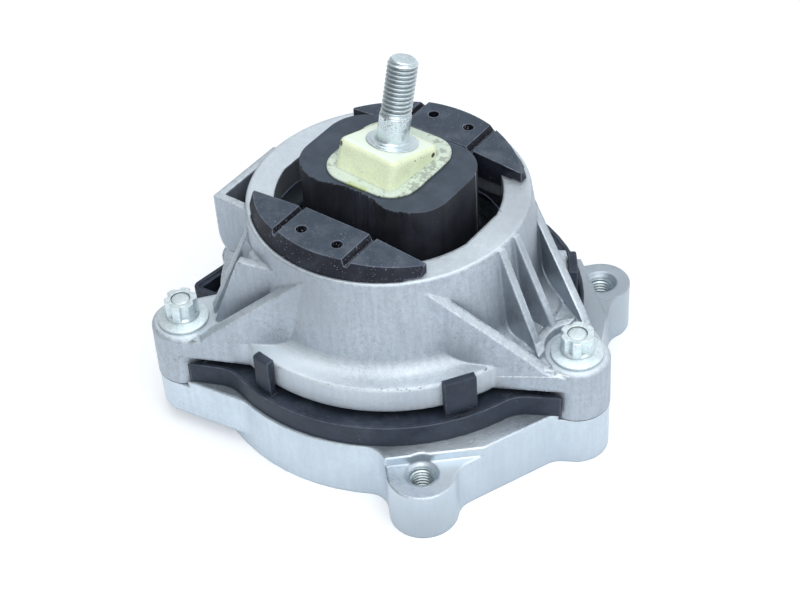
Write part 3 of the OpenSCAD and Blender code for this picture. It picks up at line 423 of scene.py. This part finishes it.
def rubber_material(name, tone, rough=(0.50, 0.68), dust=0.0, haze=0.25, edge_radius=0.0006, top=None,
                    streaks=0.0, seam=None, shade=0.85, edge_highlight=0.30):
    """Black rubber or plastic, greyed by dust.

    top is another colour for upward faces, painted light from above, and seam the place of a pale upright
    line in millimetres. The last two arguments set how dark the painted shade in the corners is and how
    pale the painted highlight on the edges is.
    """
    made, tree, shader, coords = begin(name, specular_ior_level=0.28)
    skin = use(tree, "Fine skin", {"Vector": coords, "Grain Scale": 2300.0, "Mottle Scale": 170.0,
                                   "Pits": 0.4})
    soft = use(tree, "Soft edge", {"Radius": edge_radius})
    corner = use(tree, "Recess", {"Reach": 0.005})["Mask"]
    patch = span(tree, skin["Tone"], 0.38, 0.62)
    up = facing_up(tree, None, 0.75, 0.9)
    body = mixed(tree, patch, rgba(tone, 0.62), rgba(tone, 1.35))
    if streaks:
        lines = use(tree, "Upright streaks", {"Vector": coords, "Scale": 170.0, "Length": 0.05})["Mask"]
        body = over(tree, body, rgba(tone, 2.8), lines, streaks)
        # Warm brownish patches: painted sheen
        warm = span(tree, noise_at(tree, coords, 55.0, 3.0, 0.6), 0.54, 0.68, 0.0, streaks * 0.5)
        body = over(tree, body, (0.045, 0.040, 0.036, 1.0), warm)
    # Lighter upward faces: painted light from above
    if top is not None:
        body = over(tree, body, mixed(tree, patch, rgba(top, 0.80), rgba(top, 1.18)), up)
    wide = span(tree, noise_at(tree, coords, 95.0, 4.0, 0.65), 0.45, 0.68, 0.0, haze)
    body = over(tree, body, (0.17, 0.20, 0.25, 1.0), wide, span(tree, up, 0.0, 1.0, 0.25, 1.0))
    if seam:
        flat = stretched(tree, coords, (1, 1, 0))
        away = vectors(tree, "DISTANCE", flat, (*[s * MM for s in seam], 0.0))
        body = over(tree, body, (0.42, 0.45, 0.47, 1.0), span(tree, away, 0.00014, 0.00040, 0.9, 0.0))
    # Paler edges: painted highlight, broken up by noise
    edge_breakup = span(tree, noise_at(tree, coords, 260.0, 3.0, 0.7), 0.35, 0.65, 0.35, 1.0)
    body = over(tree, body, (0.34, 0.39, 0.50, 1.0), soft["Edge"], edge_breakup, edge_highlight)
    # Darker in corners and dimples: painted shade
    body = over(tree, body, rgba(tone, 0.30), corner, shade)
    cover = maths(tree, "MULTIPLY_ADD", corner, 0.16, dust)
    specks = use(tree, "Dust specks", {"Vector": coords, "Cover": cover})["Mask"]
    body = over(tree, body, (0.40, 0.42, 0.50, 1.0), specks, 0.7)
    finish(tree, shader, body, skin, soft, rough, 0.30, 0.0003)
    return made


def core_material(name, tone, spring_top):
    """Pale coated casting, with rubber left in its pocks and a thin skirt smeared with black."""
    made, tree, shader, coords = begin(name, specular_ior_level=0.4)
    skin = use(tree, "Fine skin", {"Vector": coords, "Grain Scale": 1200.0, "Mottle Scale": 130.0,
                                   "Pits": 0.0})
    soft = use(tree, "Soft edge", {"Radius": 0.0014})
    low = span(tree, component(tree, coords, "Z"), spring_top + 0.0004, spring_top + 0.0014, 1.0, 0.0)
    patch = span(tree, skin["Tone"], 0.38, 0.62)
    body = mixed(tree, patch, rgba(tone, 0.90), rgba(tone, 1.08))
    body = over(tree, body, (0.86, 0.96, 0.90, 1.0), facing_up(tree), 0.8)
    skirt = mixed(tree, patch, (0.37, 0.46, 0.40, 1.0), (0.54, 0.63, 0.53, 1.0))
    body = over(tree, body, skirt, low, 0.9)
    for point, radius in STAINS:
        spot = at_point(tree, coords, point, radius, 0.45)
        body = over(tree, body, (0.50, 0.58, 0.12, 1.0), low, spot, 0.85)
    across = component(tree, coords, "X")
    right = span(tree, across, 0.003, 0.016, 0.0, 0.11)
    left = span(tree, across, -0.0165, -0.0125, 0.07, 0.0)
    smear = maths(tree, "ADD", noise_at(tree, coords, 330.0, 5.0, 0.75), maths(tree, "ADD", left, right))
    body = over(tree, body, (0.10, 0.12, 0.10, 1.0), low, span(tree, smear, 0.59, 0.65), 0.8)
    fleck = span(tree, noise_at(tree, coords, 700.0, 2.0), 0.75, 0.77)
    body = over(tree, body, (0.20, 0.20, 0.12, 1.0), fleck, 0.7)
    for point, radius in POCKS:
        body = over(tree, body, (0.030, 0.026, 0.016, 1.0), at_point(tree, coords, point, radius))
    finish(tree, shader, body, skin, soft, (0.40, 0.56), 0.22, 0.0004)
    return made


# Spots on the core block that hold rubber: place and radius, in millimetres
POCKS = (((-12.9, -10.6, 114.4), 1.5), ((15.6, 9.4, 107.4), 1.5), ((14.9, -1.1, 111.0), 0.5),
         ((15.1, 2.4, 110.3), 0.4), ((14.8, -6.6, 107.0), 0.35), ((6.0, -13.2, 109.6), 0.4))
# Yellow stains on the skirt: place and radius, in millimetres
STAINS = (((-2.2, -20.0, 104.5), 4.6), ((2.8, -20.0, 104.5), 4.6))


def dress(node, material):
    """Gives a CAD node one material in all its slots."""
    mesh = frame["nodes"][node].data
    mesh.materials.clear()
    mesh.materials.append(material)


# Mesh helpers

def piece(name, verts, faces, material, slot, sharp=30.0):
    """A new mesh object that rides on the part."""
    mesh = bpy.data.meshes.new(name)
    mesh.from_pydata(verts, [], faces)
    mesh.validate()
    mesh.update()
    mesh.shade_smooth()
    mesh.set_sharp_from_angle(angle=math.radians(sharp))
    mesh.materials.append(material)
    made = bpy.data.objects.new(name, mesh)
    bpy.context.scene.collection.objects.link(made)
    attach(made, "root")
    return made


def grid(rows, columns, point, close_start=True, close_end=True):
    """A tube of rows by columns points from point(row, column), with its ends closed by fans."""
    verts = [point(i, j) for i in range(rows) for j in range(columns)]
    faces = [(i * columns + j, i * columns + (j + 1) % columns,
              (i + 1) * columns + (j + 1) % columns, (i + 1) * columns + j)
             for i in range(rows - 1) for j in range(columns)]
    for wanted, row in ((close_start, 0), (close_end, rows - 1)):
        if not wanted:
            continue
        ring = [verts[row * columns + j] for j in range(columns)]
        verts.append(tuple(sum(p[k] for p in ring) / columns for k in range(3)))
        hub = len(verts) - 1
        for j in range(columns):
            a, b = row * columns + j, row * columns + (j + 1) % columns
            faces.append((hub, b, a) if row == 0 else (hub, a, b))
    return verts, faces


def mount_named(name):
    """The record's entry for a pin or hole."""
    return next(m for m in frame["record"]["mounts"] if m["name"] == name)


def ridge(turn):
    """Height of a thread's profile, 0 at the root and 1 at the crest, over one turn from 0 to 1."""
    flank = 2.7
    root = 0.30
    return max(0.0, min(1.0, (0.5 - abs(turn % 1.0 - 0.5)) * flank - root))


def between(value, points):
    """Reads a profile of (place, height) pairs at a place, with straight stretches."""
    for (x0, y0), (x1, y1) in zip(points, points[1:]):
        if x0 <= value <= x1:
            return y0 + (y1 - y0) * (value - x0) / (x1 - x0)
    return 0.0


# Operators

class MOUNT_OT_effects(bpy.types.Operator):
    """Builds the node groups that the materials share"""
    bl_idname = "mount.effects"
    bl_label = "Shared effects"

    def execute(self, context):
        skin_group()
        edge_group()
        dust_group()
        recess_group()
        streak_group()
        return {"FINISHED"}


class MOUNT_OT_castings(bpy.types.Operator):
    """Finishes the upper housing and the base bracket as die castings with machined faces"""
    bl_idname = "mount.castings"
    bl_label = "Castings"

    # Bolts' reach under their flanges, flange over the lugs, its radius, its edge and the lugs, in metres
    bolt_reach = 0.040
    flange_step = 0.0022
    flange_radius = 0.0709
    edge_depth = 0.010
    lug_depth = 0.024
    # Parting line on the right arm: slope, level at the middle, start along X and limit along Y
    parting = (0.088, 0.03823, 0.066, -0.012)
    # Painted shade, darker, and painted highlights, brighter: point and radius in millimetres, and weight
    housing_shade_spots = (((2.0, -59.0, 80.0), 22.0, 0.5), ((54.0, 20.0, 80.0), 26.0, 0.5))
    housing_sheen = (((-3.0, -62.0, 52.0), 27.0, 0.95),)
    base_shade_spots = (((68.0, -76.0, 4.0), 22.0, 0.85), ((72.0, 50.0, 16.0), 36.0, 1.0),
                 ((84.0, -44.0, 8.0), 32.0, 0.45))
    base_sheen = (((64.0, -48.0, 26.0), 24.0, 0.9),)
    # The base's upward faces, as a share of its colour: painted shade on its tops
    top_shade_share = 0.75

    def execute(self, context):
        cast = context.scene.mount_casting
        lug_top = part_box("housing_bolts")[0].z + self.bolt_reach
        flange_top = lug_top + self.flange_step
        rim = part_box("upper_housing")[1].z
        band = (lug_top - self.edge_depth, flange_top, self.flange_radius)
        # The housing's upward faces lean to the bright colour: painted light from above
        dress("upper_housing", cast_material("cast_housing", cast, cast.housing, 0.55, cast.bright, 0.42,
                                             machined=(lug_top, rim), nicks=flange_top, edge_band=band,
                                             foot=lug_top - self.lug_depth, parting=self.parting,
                                             shade_spots=self.housing_shade_spots, sheen=self.housing_sheen))
        # The base's upward faces lean to a darker colour: painted shade on its tops
        top = [c * self.top_shade_share for c in cast.base]
        dress("base_bracket", cast_material("cast_base", cast, cast.base, 0.42, top, 0.7, texture=0.45,
                                             shade_spots=self.base_shade_spots, sheen=self.base_sheen))
        return {"FINISHED"}


class MOUNT_OT_bolts(bpy.types.Operator):
    """Finishes the housing bolts in bright zinc and sets a forged crown in each head"""
    bl_idname = "mount.bolts"
    bl_label = "Housing bolts"

    # Bolts' middles, and the crown's rings as radius and depth below the head's top, in millimetres
    places = ((87.011, 0.0), (-55.332, 67.136), (-55.332, -67.136))
    crown = ((3.84, 1.5), (3.8, 0.5), (3.6, 0.34), (2.7, 0.2), (1.4, 0.13), (0.4, 0.11))
    sides = 48

    def execute(self, context):
        zinc = zinc_material("zinc_bolt", context.scene.mount_steel, (0.42, 0.56), shade=1.06, groove_shade=0.8,
                             metallic=0.8)
        dress("housing_bolts", zinc)
        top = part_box("housing_bolts")[1].z
        for number, (x, y) in enumerate(self.places):
            def point(ring, step, x=x, y=y):
                out, drop = self.crown[ring]
                a = math.tau * step / self.sides
                return ((x + out * math.cos(a)) * MM, (y + out * math.sin(a)) * MM, top - drop * MM)

            piece(f"bolt_crown_{number + 1}", *grid(len(self.crown), self.sides, point), zinc, "zinc_bolt")
        return {"FINISHED"}


class MOUNT_OT_stud(bpy.types.Operator):
    """Models the stud with its rolled thread, plain shank and flared collar"""
    bl_idname = "mount.stud"
    bl_label = "Threaded stud"

    columns = 72
    turn_rows = 14
    # Head cast into the core: its ends along the axis and half the width over its corners
    head = (-26 * MM, -20 * MM)
    across = 8.25 * MM
    # Collar and the flare that runs from it into the shank
    seat = -0.3 * MM
    collar = 10.2 * MM
    collar_top = 0.7 * MM
    step = 0.3 * MM
    flare = 1.1 * MM
    # Shank, thread and tip
    shank = 6.25 * MM
    depth = 1.15 * MM
    fade = 2.2 * MM
    tip_length = 1.4 * MM
    tip_cone = 0.93
    # Start of the band of dark specks on the shank, and one larger mark in it, in millimetres
    specks = 6.5
    mark = (1.31, -0.61, 124.64)

    def execute(self, context):
        steel = context.scene.mount_steel
        mount = mount_named("stud_pin")
        axis = Vector(mount["axis"]).normalized()
        length = mount["dims"]["length_mm"] * MM
        crest = mount["dims"]["r_mm"] * MM
        origin = Vector(mount["pos_m"]) - axis * (steel.shank + length / 2)
        turn = axis.to_track_quat("Z", "X").to_matrix().to_4x4()
        place = Matrix.Translation(origin) @ turn
        rows = self.profile(steel, crest, length)
        step = math.tau / self.columns

        def point(i, j):
            z, radius = rows[i]
            r = radius(j * step)
            return tuple(place @ Vector((r * math.cos(j * step), r * math.sin(j * step), z)))

        verts, faces = grid(len(rows), self.columns, point)
        band = (tuple(origin), tuple(axis), self.specks * MM, steel.shank + 0.5 * MM, self.mark)
        material = zinc_material("stud_steel", steel, (0.28, 0.46), specks=band)
        made = piece("threaded_stud", verts, faces, material, "stud_steel", sharp=50.0)
        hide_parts("stud")
        return {"FINISHED"}

    def profile(self, steel, crest, length):
        """Rows of (height, radius at an angle), from the cast-in head to the tip."""
        top = steel.shank + length
        tip = top + self.tip_length
        lip = self.collar_top - self.step
        foot = self.collar_top + self.flare
        plain = steel.shank - 0.7 * MM

        def hexagon(angle):
            flat = self.across * math.cos(math.pi / 6)
            return flat / math.cos((angle + math.pi / 6) % (math.pi / 3) - math.pi / 6)

        def round_at(r):
            return lambda angle: r

        low, high = self.head
        rows = [(low, round_at(self.across * 0.5)), (low, hexagon), (high, hexagon),
                (high, round_at(self.shank)), (self.seat, round_at(self.shank)),
                (self.seat, round_at(self.collar)), (lip - 0.15 * MM, round_at(self.collar)),
                (lip, round_at(self.collar - 0.2 * MM)), (lip, round_at(8.7 * MM)),
                (self.collar_top - 0.05 * MM, round_at(8.5 * MM)), (self.collar_top, round_at(8.3 * MM))]
        for k in range(9):
            a = math.pi / 2 * k / 8
            rows.append((self.collar_top + self.flare * (1 - math.cos(a)),
                         round_at(self.shank + self.flare * (1 - math.sin(a)))))
        for k in range(1, 5):
            rows.append((foot + (plain - foot) * k / 4, round_at(self.shank)))

        count = int((tip - plain) / steel.stud_pitch * self.turn_rows)
        for k in range(count + 1):
            z = plain + (tip - plain) * k / count
            fade_in = min(1.0, max(0.0, (z - plain) / self.fade))
            cone = crest - max(0.0, z - top) * self.tip_cone

            def radius(angle, z=z, fade_in=fade_in, cone=cone):
                full = self.shank + (crest - self.shank) * min(1.0, fade_in * 2)
                cut = self.depth * fade_in * (1 - ridge(z / steel.stud_pitch - angle / math.tau))
                return min(full - cut, cone)

            rows.append((z, radius))
        rows += [(tip, round_at(4.45 * MM)), (tip - 0.25 * MM, round_at(3.6 * MM)),
                 (tip - 0.35 * MM, round_at(1.8 * MM))]
        return rows


class MOUNT_OT_hole_threads(bpy.types.Operator):
    """Lines each threaded hole of the base with its thread"""
    bl_idname = "mount.hole_threads"
    bl_label = "Hole threads"

    columns = 48
    turn_rows = 12
    depth = 0.78 * MM

    def execute(self, context):
        steel = context.scene.mount_steel
        material = zinc_material("cut_thread", steel, (0.26, 0.42), shade=0.9)
        for mount in frame["record"]["mounts"]:
            if mount["kind"] == "threaded_hole":
                self.build(mount, steel.hole_pitch, material)
        return {"FINISHED"}

    def build(self, mount, pitch, material):
        wall = mount["dims"]["r_mm"] * MM
        length = mount["dims"]["length_mm"] * MM
        centre = Vector(mount["pos_m"])
        count = int(length / pitch * self.turn_rows)
        step = math.tau / self.columns

        def point(i, j):
            if i in (0, count + 2):
                r, k = wall + 0.02 * MM, min(i, count)
            else:
                k = i - 1
                z = length * k / count
                end = min(1.0, z / pitch, (length - z) / pitch)
                r = wall - 0.03 * MM - self.depth * ridge(z / pitch - j / self.columns) * end
            z = centre.z - length / 2 + length * k / count
            return (centre.x + r * math.cos(j * step), centre.y + r * math.sin(j * step), z)

        verts, faces = grid(count + 3, self.columns, point, False, False)
        faces = [tuple(reversed(f)) for f in faces]
        piece("thread_in_" + mount["name"].replace("_thread", "_lug"), verts, faces, material,
              "cast_base", sharp=50.0)


class MOUNT_OT_spring(bpy.types.Operator):
    """Models the rubber spring, with the torn edge and the moulding streaks of the real block"""
    bl_idname = "mount.spring"
    bl_label = "Rubber spring"

    # Block's size, corner and middle, and the levels of its flare inside the bell, in millimetres
    half_x = 33.5
    half_y = 23.8
    corner = 16.5
    middle_x = 0.6
    flare = ((69.6, 36.0), (53.4, 46.0), (52.0, 47.0), (41.0, 51.4))
    under = ((41.0, 50.8), (41.0, 47.6), (44.4, 44.0), (52.0, 30.0), (56.4, 20.0), (58.8, 6.0))
    # Rows of points: shares of the way over the flat top, inset and drop round its edge, drops down the side
    top_shares = (0.35, 0.6, 0.8, 0.9, 0.96)
    rounding = ((0.30, 0.02), (0.10, 0.08), (0.0, 0.26))
    side_drops = (1.2, 2.4, 3.8, 5.4, 7.4, 9.6, 12.2, 15.0, 18.2, 22.0, 27.0, 33.0)
    # Above this level the flare never cuts into the block's wall, in millimetres
    wall_foot = 60.0
    # How far the torn top edge steps back: angle in degrees and depth in millimetres
    chip = ((-150.0, 0.0), (-143.0, 0.5), (-136.0, 0.6), (-124.0, 0.7), (-119.0, 1.2), (-115.0, 2.2),
            (-106.0, 3.2), (-76.0, 3.0), (-66.0, 2.4), (-62.0, 0.9), (-56.0, 0.1), (-50.0, 0.6),
            (-46.0, 1.1), (-36.0, 0.4), (-28.0, 0.0))
    # How much of that step is left at each drop below the top, in millimetres
    chip_foot = ((0.0, 1.0), (1.5, 0.96), (4.0, 0.86), (8.0, 0.62), (13.0, 0.30), (19.0, 0.08), (25.0, 0.0))
    # Place of the upright seam at the right corner, in millimetres
    seam = (33.4, 12.3)

    def outline(self, angle):
        """Distance from the block's middle to its wall at an angle, for a rectangle with round corners."""
        c, s = abs(math.cos(angle)), abs(math.sin(angle))
        flat_x, flat_y = self.half_x - self.corner, self.half_y - self.corner
        along_x = self.half_x / c if c > 1e-9 else 1e9
        along_y = self.half_y / s if s > 1e-9 else 1e9
        reach = min(along_x, along_y)
        x, y = reach * c, reach * s
        if x <= flat_x or y <= flat_y:
            return reach
        b = c * flat_x + s * flat_y
        return b + math.sqrt(max(b * b - flat_x ** 2 - flat_y ** 2 + self.corner ** 2, 0.0))

    def torn(self, angle, ragged=1.0):
        """How far the top edge steps back at an angle. ragged scales its fine teeth."""
        degrees = math.degrees(angle)
        depth = between(degrees, self.chip)
        coarse = noise.noise(Vector((degrees * 0.16, 3.1, 0)))
        fine = noise.noise(Vector((degrees * 0.55, 0.4, 0)))
        fine += 0.6 * noise.noise(Vector((degrees * 1.3, 5.4, 0)))
        return depth * (1.0 + 0.25 * coarse) * MM + min(depth, 0.7) * 0.95 * fine * ragged * MM

    def flute(self, angle, drop):
        """Shallow upright flutes in the block's side, strongest under the torn edge."""
        wave = noise.noise(Vector((angle * 11.0, 0.3, drop * 0.012)))
        torn = between(math.degrees(angle), self.chip)
        return (0.07 + 0.06 * torn) * MM * abs(wave) * min(1.0, drop / 3.0)

    def execute(self, context):
        rubber = context.scene.mount_rubber
        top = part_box("rubber_spring")[1].z
        columns = rubber.segments
        angles = [math.tau * j / columns - math.pi for j in range(columns)]
        wall = [self.outline(a) * MM for a in angles]
        back = [self.torn(a) for a in angles]

        def lift(a, r):
            return 0.10 * MM * noise.noise(Vector((math.cos(a) * r * 90, math.sin(a) * r * 90, 1.5)))

        rows = []
        for share in self.top_shares:
            rows.append([((w - b) * share, top - 0.05 * MM + lift(a, w * share))
                         for w, b, a in zip(wall, back, angles)])
        for inset, drop in self.rounding:
            rows.append([(w - b - inset * MM, top - drop * MM) for w, b in zip(wall, back)])
        for drop in self.side_drops:
            kept = between(drop, self.chip_foot)
            ragged = max(0.12, 0.9 - drop / 4.0)
            rows.append([(w - self.torn(a, ragged) * kept - self.flute(a, drop), top - drop * MM)
                         for w, a in zip(wall, angles)])
        for level, radius in self.flare:
            reach = [radius * MM - self.middle_x * MM * math.cos(a) for a in angles]
            if level > self.wall_foot:
                reach = [max(w, r) for w, r in zip(wall, reach)]
            rows.append([(r, level * MM) for r in reach])
        for level, radius in self.under:
            rows.append([(radius * MM, level * MM) for a in angles])

        def point(i, j):
            r, z = rows[i][j]
            return (self.middle_x * MM + r * math.cos(angles[j]), r * math.sin(angles[j]), z)

        verts, faces = grid(len(rows), columns, point)
        faces = [tuple(reversed(f)) for f in faces]
        material = rubber_material("spring_rubber", rubber.spring_tone, (0.46, 0.66), dust=0.20, haze=0.18,
                                   top=rubber.spring_top, streaks=0.36, seam=self.seam)
        made = piece("rubber_spring_block", verts, faces, material, "spring_rubber", sharp=40.0)
        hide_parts("rubber_spring")
        return {"FINISHED"}


class MOUNT_OT_hairs(bpy.types.Operator):
    """Models the two hair-thin strands of flash that hang between the block and its neighbours"""
    bl_idname = "mount.hairs"
    bl_label = "Flash hairs"

    # Points along each strand, in millimetres
    left = ((-24.8, -21.8, 99.6), (-26.4, -24.6, 98.4), (-27.1, -28.2, 97.3), (-27.0, -32.4, 96.8))
    right = ((33.6, 13.4, 94.6), (36.6, 14.4, 93.0), (40.4, 14.0, 91.2), (45.0, 12.6, 89.4))
    radius = 0.085 * MM
    sides = 6
    steps = 6
    # How much paler than the buffers' rubber the thin strands look
    paler = 18

    def execute(self, context):
        tone = context.scene.mount_rubber.buffer_tone
        material = rubber_material("flash_rubber", [c * self.paler for c in tone], haze=0.5, shade=0.0)
        for side in ("left", "right"):
            self.strand("flash_hair_" + side, getattr(self, side), material)
        return {"FINISHED"}

    def strand(self, name, route, material):
        ends = [Vector(p) * MM for p in route]
        ends = [ends[0] * 2 - ends[1], *ends, ends[-1] * 2 - ends[-2]]
        path = []
        for a, b, c, d in zip(ends, ends[1:], ends[2:], ends[3:]):
            for k in range(self.steps):
                t = k / self.steps
                path.append(0.5 * (2 * b + (c - a) * t + (2 * a - 5 * b + 4 * c - d) * t ** 2
                                   + (3 * b - a - 3 * c + d) * t ** 3))
        path.append(ends[-2])

        def point(i, j):
            ahead = (path[min(i + 1, len(path) - 1)] - path[max(i - 1, 0)]).normalized()
            across = ahead.cross(Vector((0, 0, 1))).normalized()
            up = across.cross(ahead)
            a = math.tau * j / self.sides
            return tuple(path[i] + (across * math.cos(a) + up * math.sin(a)) * self.radius)

        verts, faces = grid(len(path), self.sides, point)
        faces = [tuple(reversed(f)) for f in faces]
        piece(name, verts, faces, material, "spring_rubber", sharp=80.0)


class MOUNT_OT_core(bpy.types.Operator):
    """Finishes the core block and its skirt in pale coating"""
    bl_idname = "mount.core"
    bl_label = "Core block"

    def execute(self, context):
        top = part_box("rubber_spring")[1].z
        dress("core_block", core_material("core_metal", context.scene.mount_rubber.core_tone, top))
        return {"FINISHED"}


class MOUNT_OT_buffers(bpy.types.Operator):
    """Finishes the two stop buffers in dusty moulded rubber"""
    bl_idname = "mount.buffers"
    bl_label = "Stop buffers"

    def execute(self, context):
        rubber = context.scene.mount_rubber
        material = rubber_material("buffer_rubber", rubber.buffer_tone, (0.46, 0.66), 0.38, 0.35, 0.0009,
                                   top=rubber.buffer_top, edge_highlight=0.85)
        dress("front_stop_buffer", material)
        dress("rear_stop_buffer", material)
        return {"FINISHED"}


class MOUNT_OT_carrier(bpy.types.Operator):
    """Finishes the clip carrier in satin black plastic"""
    bl_idname = "mount.carrier"
    bl_label = "Clip carrier"

    def execute(self, context):
        tone = context.scene.mount_rubber.carrier_tone
        dress("clip_carrier", rubber_material("carrier_plastic", tone, (0.42, 0.58), 0.22, 0.20, 0.0012))
        return {"FINISHED"}


class MOUNT_OT_fluid_unit(bpy.types.Operator):
    """Finishes the sealed pieces inside the mount"""
    bl_idname = "mount.fluid_unit"
    bl_label = "Fluid unit"

    def execute(self, context):
        steel = context.scene.mount_steel
        cast = context.scene.mount_casting
        ring = zinc_material("ring_steel", steel, (0.34, 0.52))
        # The plates' upward faces lean to the bright colour: painted light from above
        plate = cast_material("plate_alloy", cast, cast.housing, 0.45, cast.bright, 0.2)
        membrane = rubber_material("membrane_rubber", context.scene.mount_rubber.spring_tone)
        for node in ("spring_ring", "bellows_ring"):
            dress(node, ring)
        for node in ("upper_track_plate", "lower_track_plate"):
            dress(node, plate)
        for node in ("decoupler_membrane", "bellows"):
            dress(node, membrane)
        return {"FINISHED"}


class MOUNT_OT_stage(bpy.types.Operator):
    """Sets up the floor, the soft light and the camera"""
    bl_idname = "mount.stage"
    bl_label = "Stage"

    target = Vector((0.01001, -0.01008, 0.045))
    # Each softbox: name, angle round the mount from the camera and height angle in degrees, size, share
    softboxes = (("key_softbox", 6.0, 54.0, 1.4, 1.0), ("top_softbox", 170.0, 80.0, 0.8, 0.34),
                 ("right_softbox", 75.0, 35.0, 0.7, 0.10))
    reach = 1.25
    # What mirrors see of the backdrop: its levels at the horizon, overhead, to the left and to the right
    horizon_level = 0.98
    overhead_level = 0.66
    left_level = 0.36
    right_level = 1.15
    # Half the floor's side, and its glow where it is seen: all over, and added far from the mount
    floor_half = 4.0
    floor_glow = 0.25
    far_glow = 0.8

    def execute(self, context):
        stage = context.scene.mount_stage
        self.floor()
        self.world(stage)
        self.lights(stage)
        self.camera(stage)
        context.scene.view_settings.view_transform = "Standard"
        return {"FINISHED"}

    def floor(self):
        size = self.floor_half
        mesh = bpy.data.meshes.new("floor")
        mesh.from_pydata([(-size, -size, 0), (size, -size, 0), (size, size, 0), (-size, size, 0)], [],
                         [(0, 1, 2, 3)])
        made = bpy.data.materials.new("floor")
        made.use_nodes = True
        tree = made.node_tree
        shader = tree.nodes["Principled BSDF"]
        shader.inputs["Base Color"].default_value = (0.84, 0.86, 0.88, 1)
        shader.inputs["Roughness"].default_value = 0.9
        shader.inputs["Emission Color"].default_value = (1, 1, 1, 1)
        coords = add(tree, "TexCoord").outputs["Object"]
        far = span(tree, vectors(tree, "LENGTH", coords), 0.5, 1.8, 0.0, self.far_glow)
        direct = add(tree, "LightPath").outputs["Is Camera Ray"]
        far = product(tree, direct, far)
        glow = maths(tree, "MULTIPLY_ADD", seen_ray(tree), self.floor_glow, far)
        tree.links.new(glow, shader.inputs["Emission Strength"])
        mesh.materials.append(made)
        floor = bpy.data.objects.new("floor", mesh)
        bpy.context.scene.collection.objects.link(floor)

    def world(self, stage):
        world = bpy.data.worlds.new("studio")
        bpy.context.scene.world = world
        world.use_nodes = True
        tree = world.node_tree
        back = tree.nodes["Background"]
        back.inputs["Color"].default_value = (0.94, 0.97, 1.0, 1)
        ray = add(tree, "TexCoord").outputs["Generated"]
        right = (math.cos(stage.azimuth), math.sin(stage.azimuth), 0.0)
        across = vectors(tree, "DOT_PRODUCT", ray, right)
        rising = span(tree, component(tree, ray, "Z"), 0.0, 0.75, self.horizon_level, self.overhead_level)
        shown = product(tree, rising, span(tree, across, -0.8, 0.1, self.left_level, 1.0),
                        span(tree, across, 0.1, 0.9, 1.0, self.right_level))
        path = add(tree, "LightPath").outputs
        mirrored = maths(tree, "MAXIMUM", path["Is Glossy Ray"], path["Is Transmission Ray"])
        level = maths(tree, "MULTIPLY_ADD", mirrored, maths(tree, "SUBTRACT", shown, stage.fill), stage.fill)
        level = maths(tree, "MULTIPLY_ADD", path["Is Camera Ray"], 1.0 - stage.fill, level)
        tree.links.new(level, back.inputs["Strength"])

    def lights(self, stage):
        for name, turn, height, size, share in self.softboxes:
            light = bpy.data.lights.new(name, "AREA")
            light.shape = "SQUARE"
            light.size = size
            light.energy = stage.key_power * share
            a, e = stage.azimuth + math.radians(turn), math.radians(height)
            away = Vector((math.sin(a) * math.cos(e), -math.cos(a) * math.cos(e), math.sin(e)))
            lamp = bpy.data.objects.new(name, light)
            lamp.location = self.target + away * self.reach
            lamp.rotation_euler = away.to_track_quat("Z", "Y").to_euler()
            bpy.context.scene.collection.objects.link(lamp)

    def camera(self, stage):
        a, e, r = stage.azimuth, stage.elevation, stage.roll
        back = Vector((math.sin(a) * math.cos(e), -math.cos(a) * math.cos(e), math.sin(e)))
        right = (-back).cross(Vector((0, 0, 1))).normalized()
        up = right.cross(-back)
        side = right * math.cos(r) - up * math.sin(r)
        head = right * math.sin(r) + up * math.cos(r)
        data = bpy.data.cameras.new("camera")
        data.lens = stage.lens
        data.sensor_width = 36.0
        data.clip_start = 0.05
        camera = bpy.data.objects.new("camera", data)
        basis = Matrix((side, head, back)).transposed().to_4x4()
        camera.matrix_world = Matrix.Translation(self.target + back * stage.distance) @ basis
        bpy.context.scene.collection.objects.link(camera)
        bpy.context.scene.camera = camera


def seen_ray(tree):
    """1 for rays that the camera, a mirror or clear glass sees, 0 for the rest."""
    path = add(tree, "LightPath").outputs
    seen = maths(tree, "MAXIMUM", path["Is Camera Ray"], path["Is Glossy Ray"])
    return maths(tree, "MAXIMUM", seen, path["Is Transmission Ray"])


class MOUNT_PT_panel(bpy.types.Panel):
    """Lists the steps that dress the mount"""
    bl_idname = "MOUNT_PT_panel"
    bl_label = "Engine Mount"
    bl_space_type = "VIEW_3D"
    bl_region_type = "UI"
    bl_category = "Mount"

    def draw(self, context):
        scene = context.scene
        for name in SETTINGS:
            settings = getattr(scene, name)
            box = self.layout.box()
            for label in settings.__annotations__:
                box.prop(settings, label)
        for operator in OPERATORS:
            self.layout.operator(operator.bl_idname)


SETTINGS = {"mount_casting": CastingSettings, "mount_steel": SteelSettings,
            "mount_rubber": RubberSettings, "mount_stage": StageSettings}
OPERATORS = (MOUNT_OT_effects, MOUNT_OT_stage, MOUNT_OT_castings, MOUNT_OT_bolts, MOUNT_OT_stud,
             MOUNT_OT_hole_threads, MOUNT_OT_core, MOUNT_OT_spring, MOUNT_OT_hairs, MOUNT_OT_buffers,
             MOUNT_OT_carrier, MOUNT_OT_fluid_unit)


def register():
    for kind in (*SETTINGS.values(), *OPERATORS, MOUNT_PT_panel):
        bpy.utils.register_class(kind)
    for name, kind in SETTINGS.items():
        setattr(bpy.types.Scene, name, PointerProperty(type=kind))


def unregister():
    for name in SETTINGS:
        delattr(bpy.types.Scene, name)
    for kind in (MOUNT_PT_panel, *reversed(OPERATORS), *reversed(SETTINGS.values())):
        bpy.utils.unregister_class(kind)


def main():
    register()
    for operator in OPERATORS:
        family, name = operator.bl_idname.split(".")
        getattr(getattr(bpy.ops, family), name)()


if __name__ == "__main__":
    main()
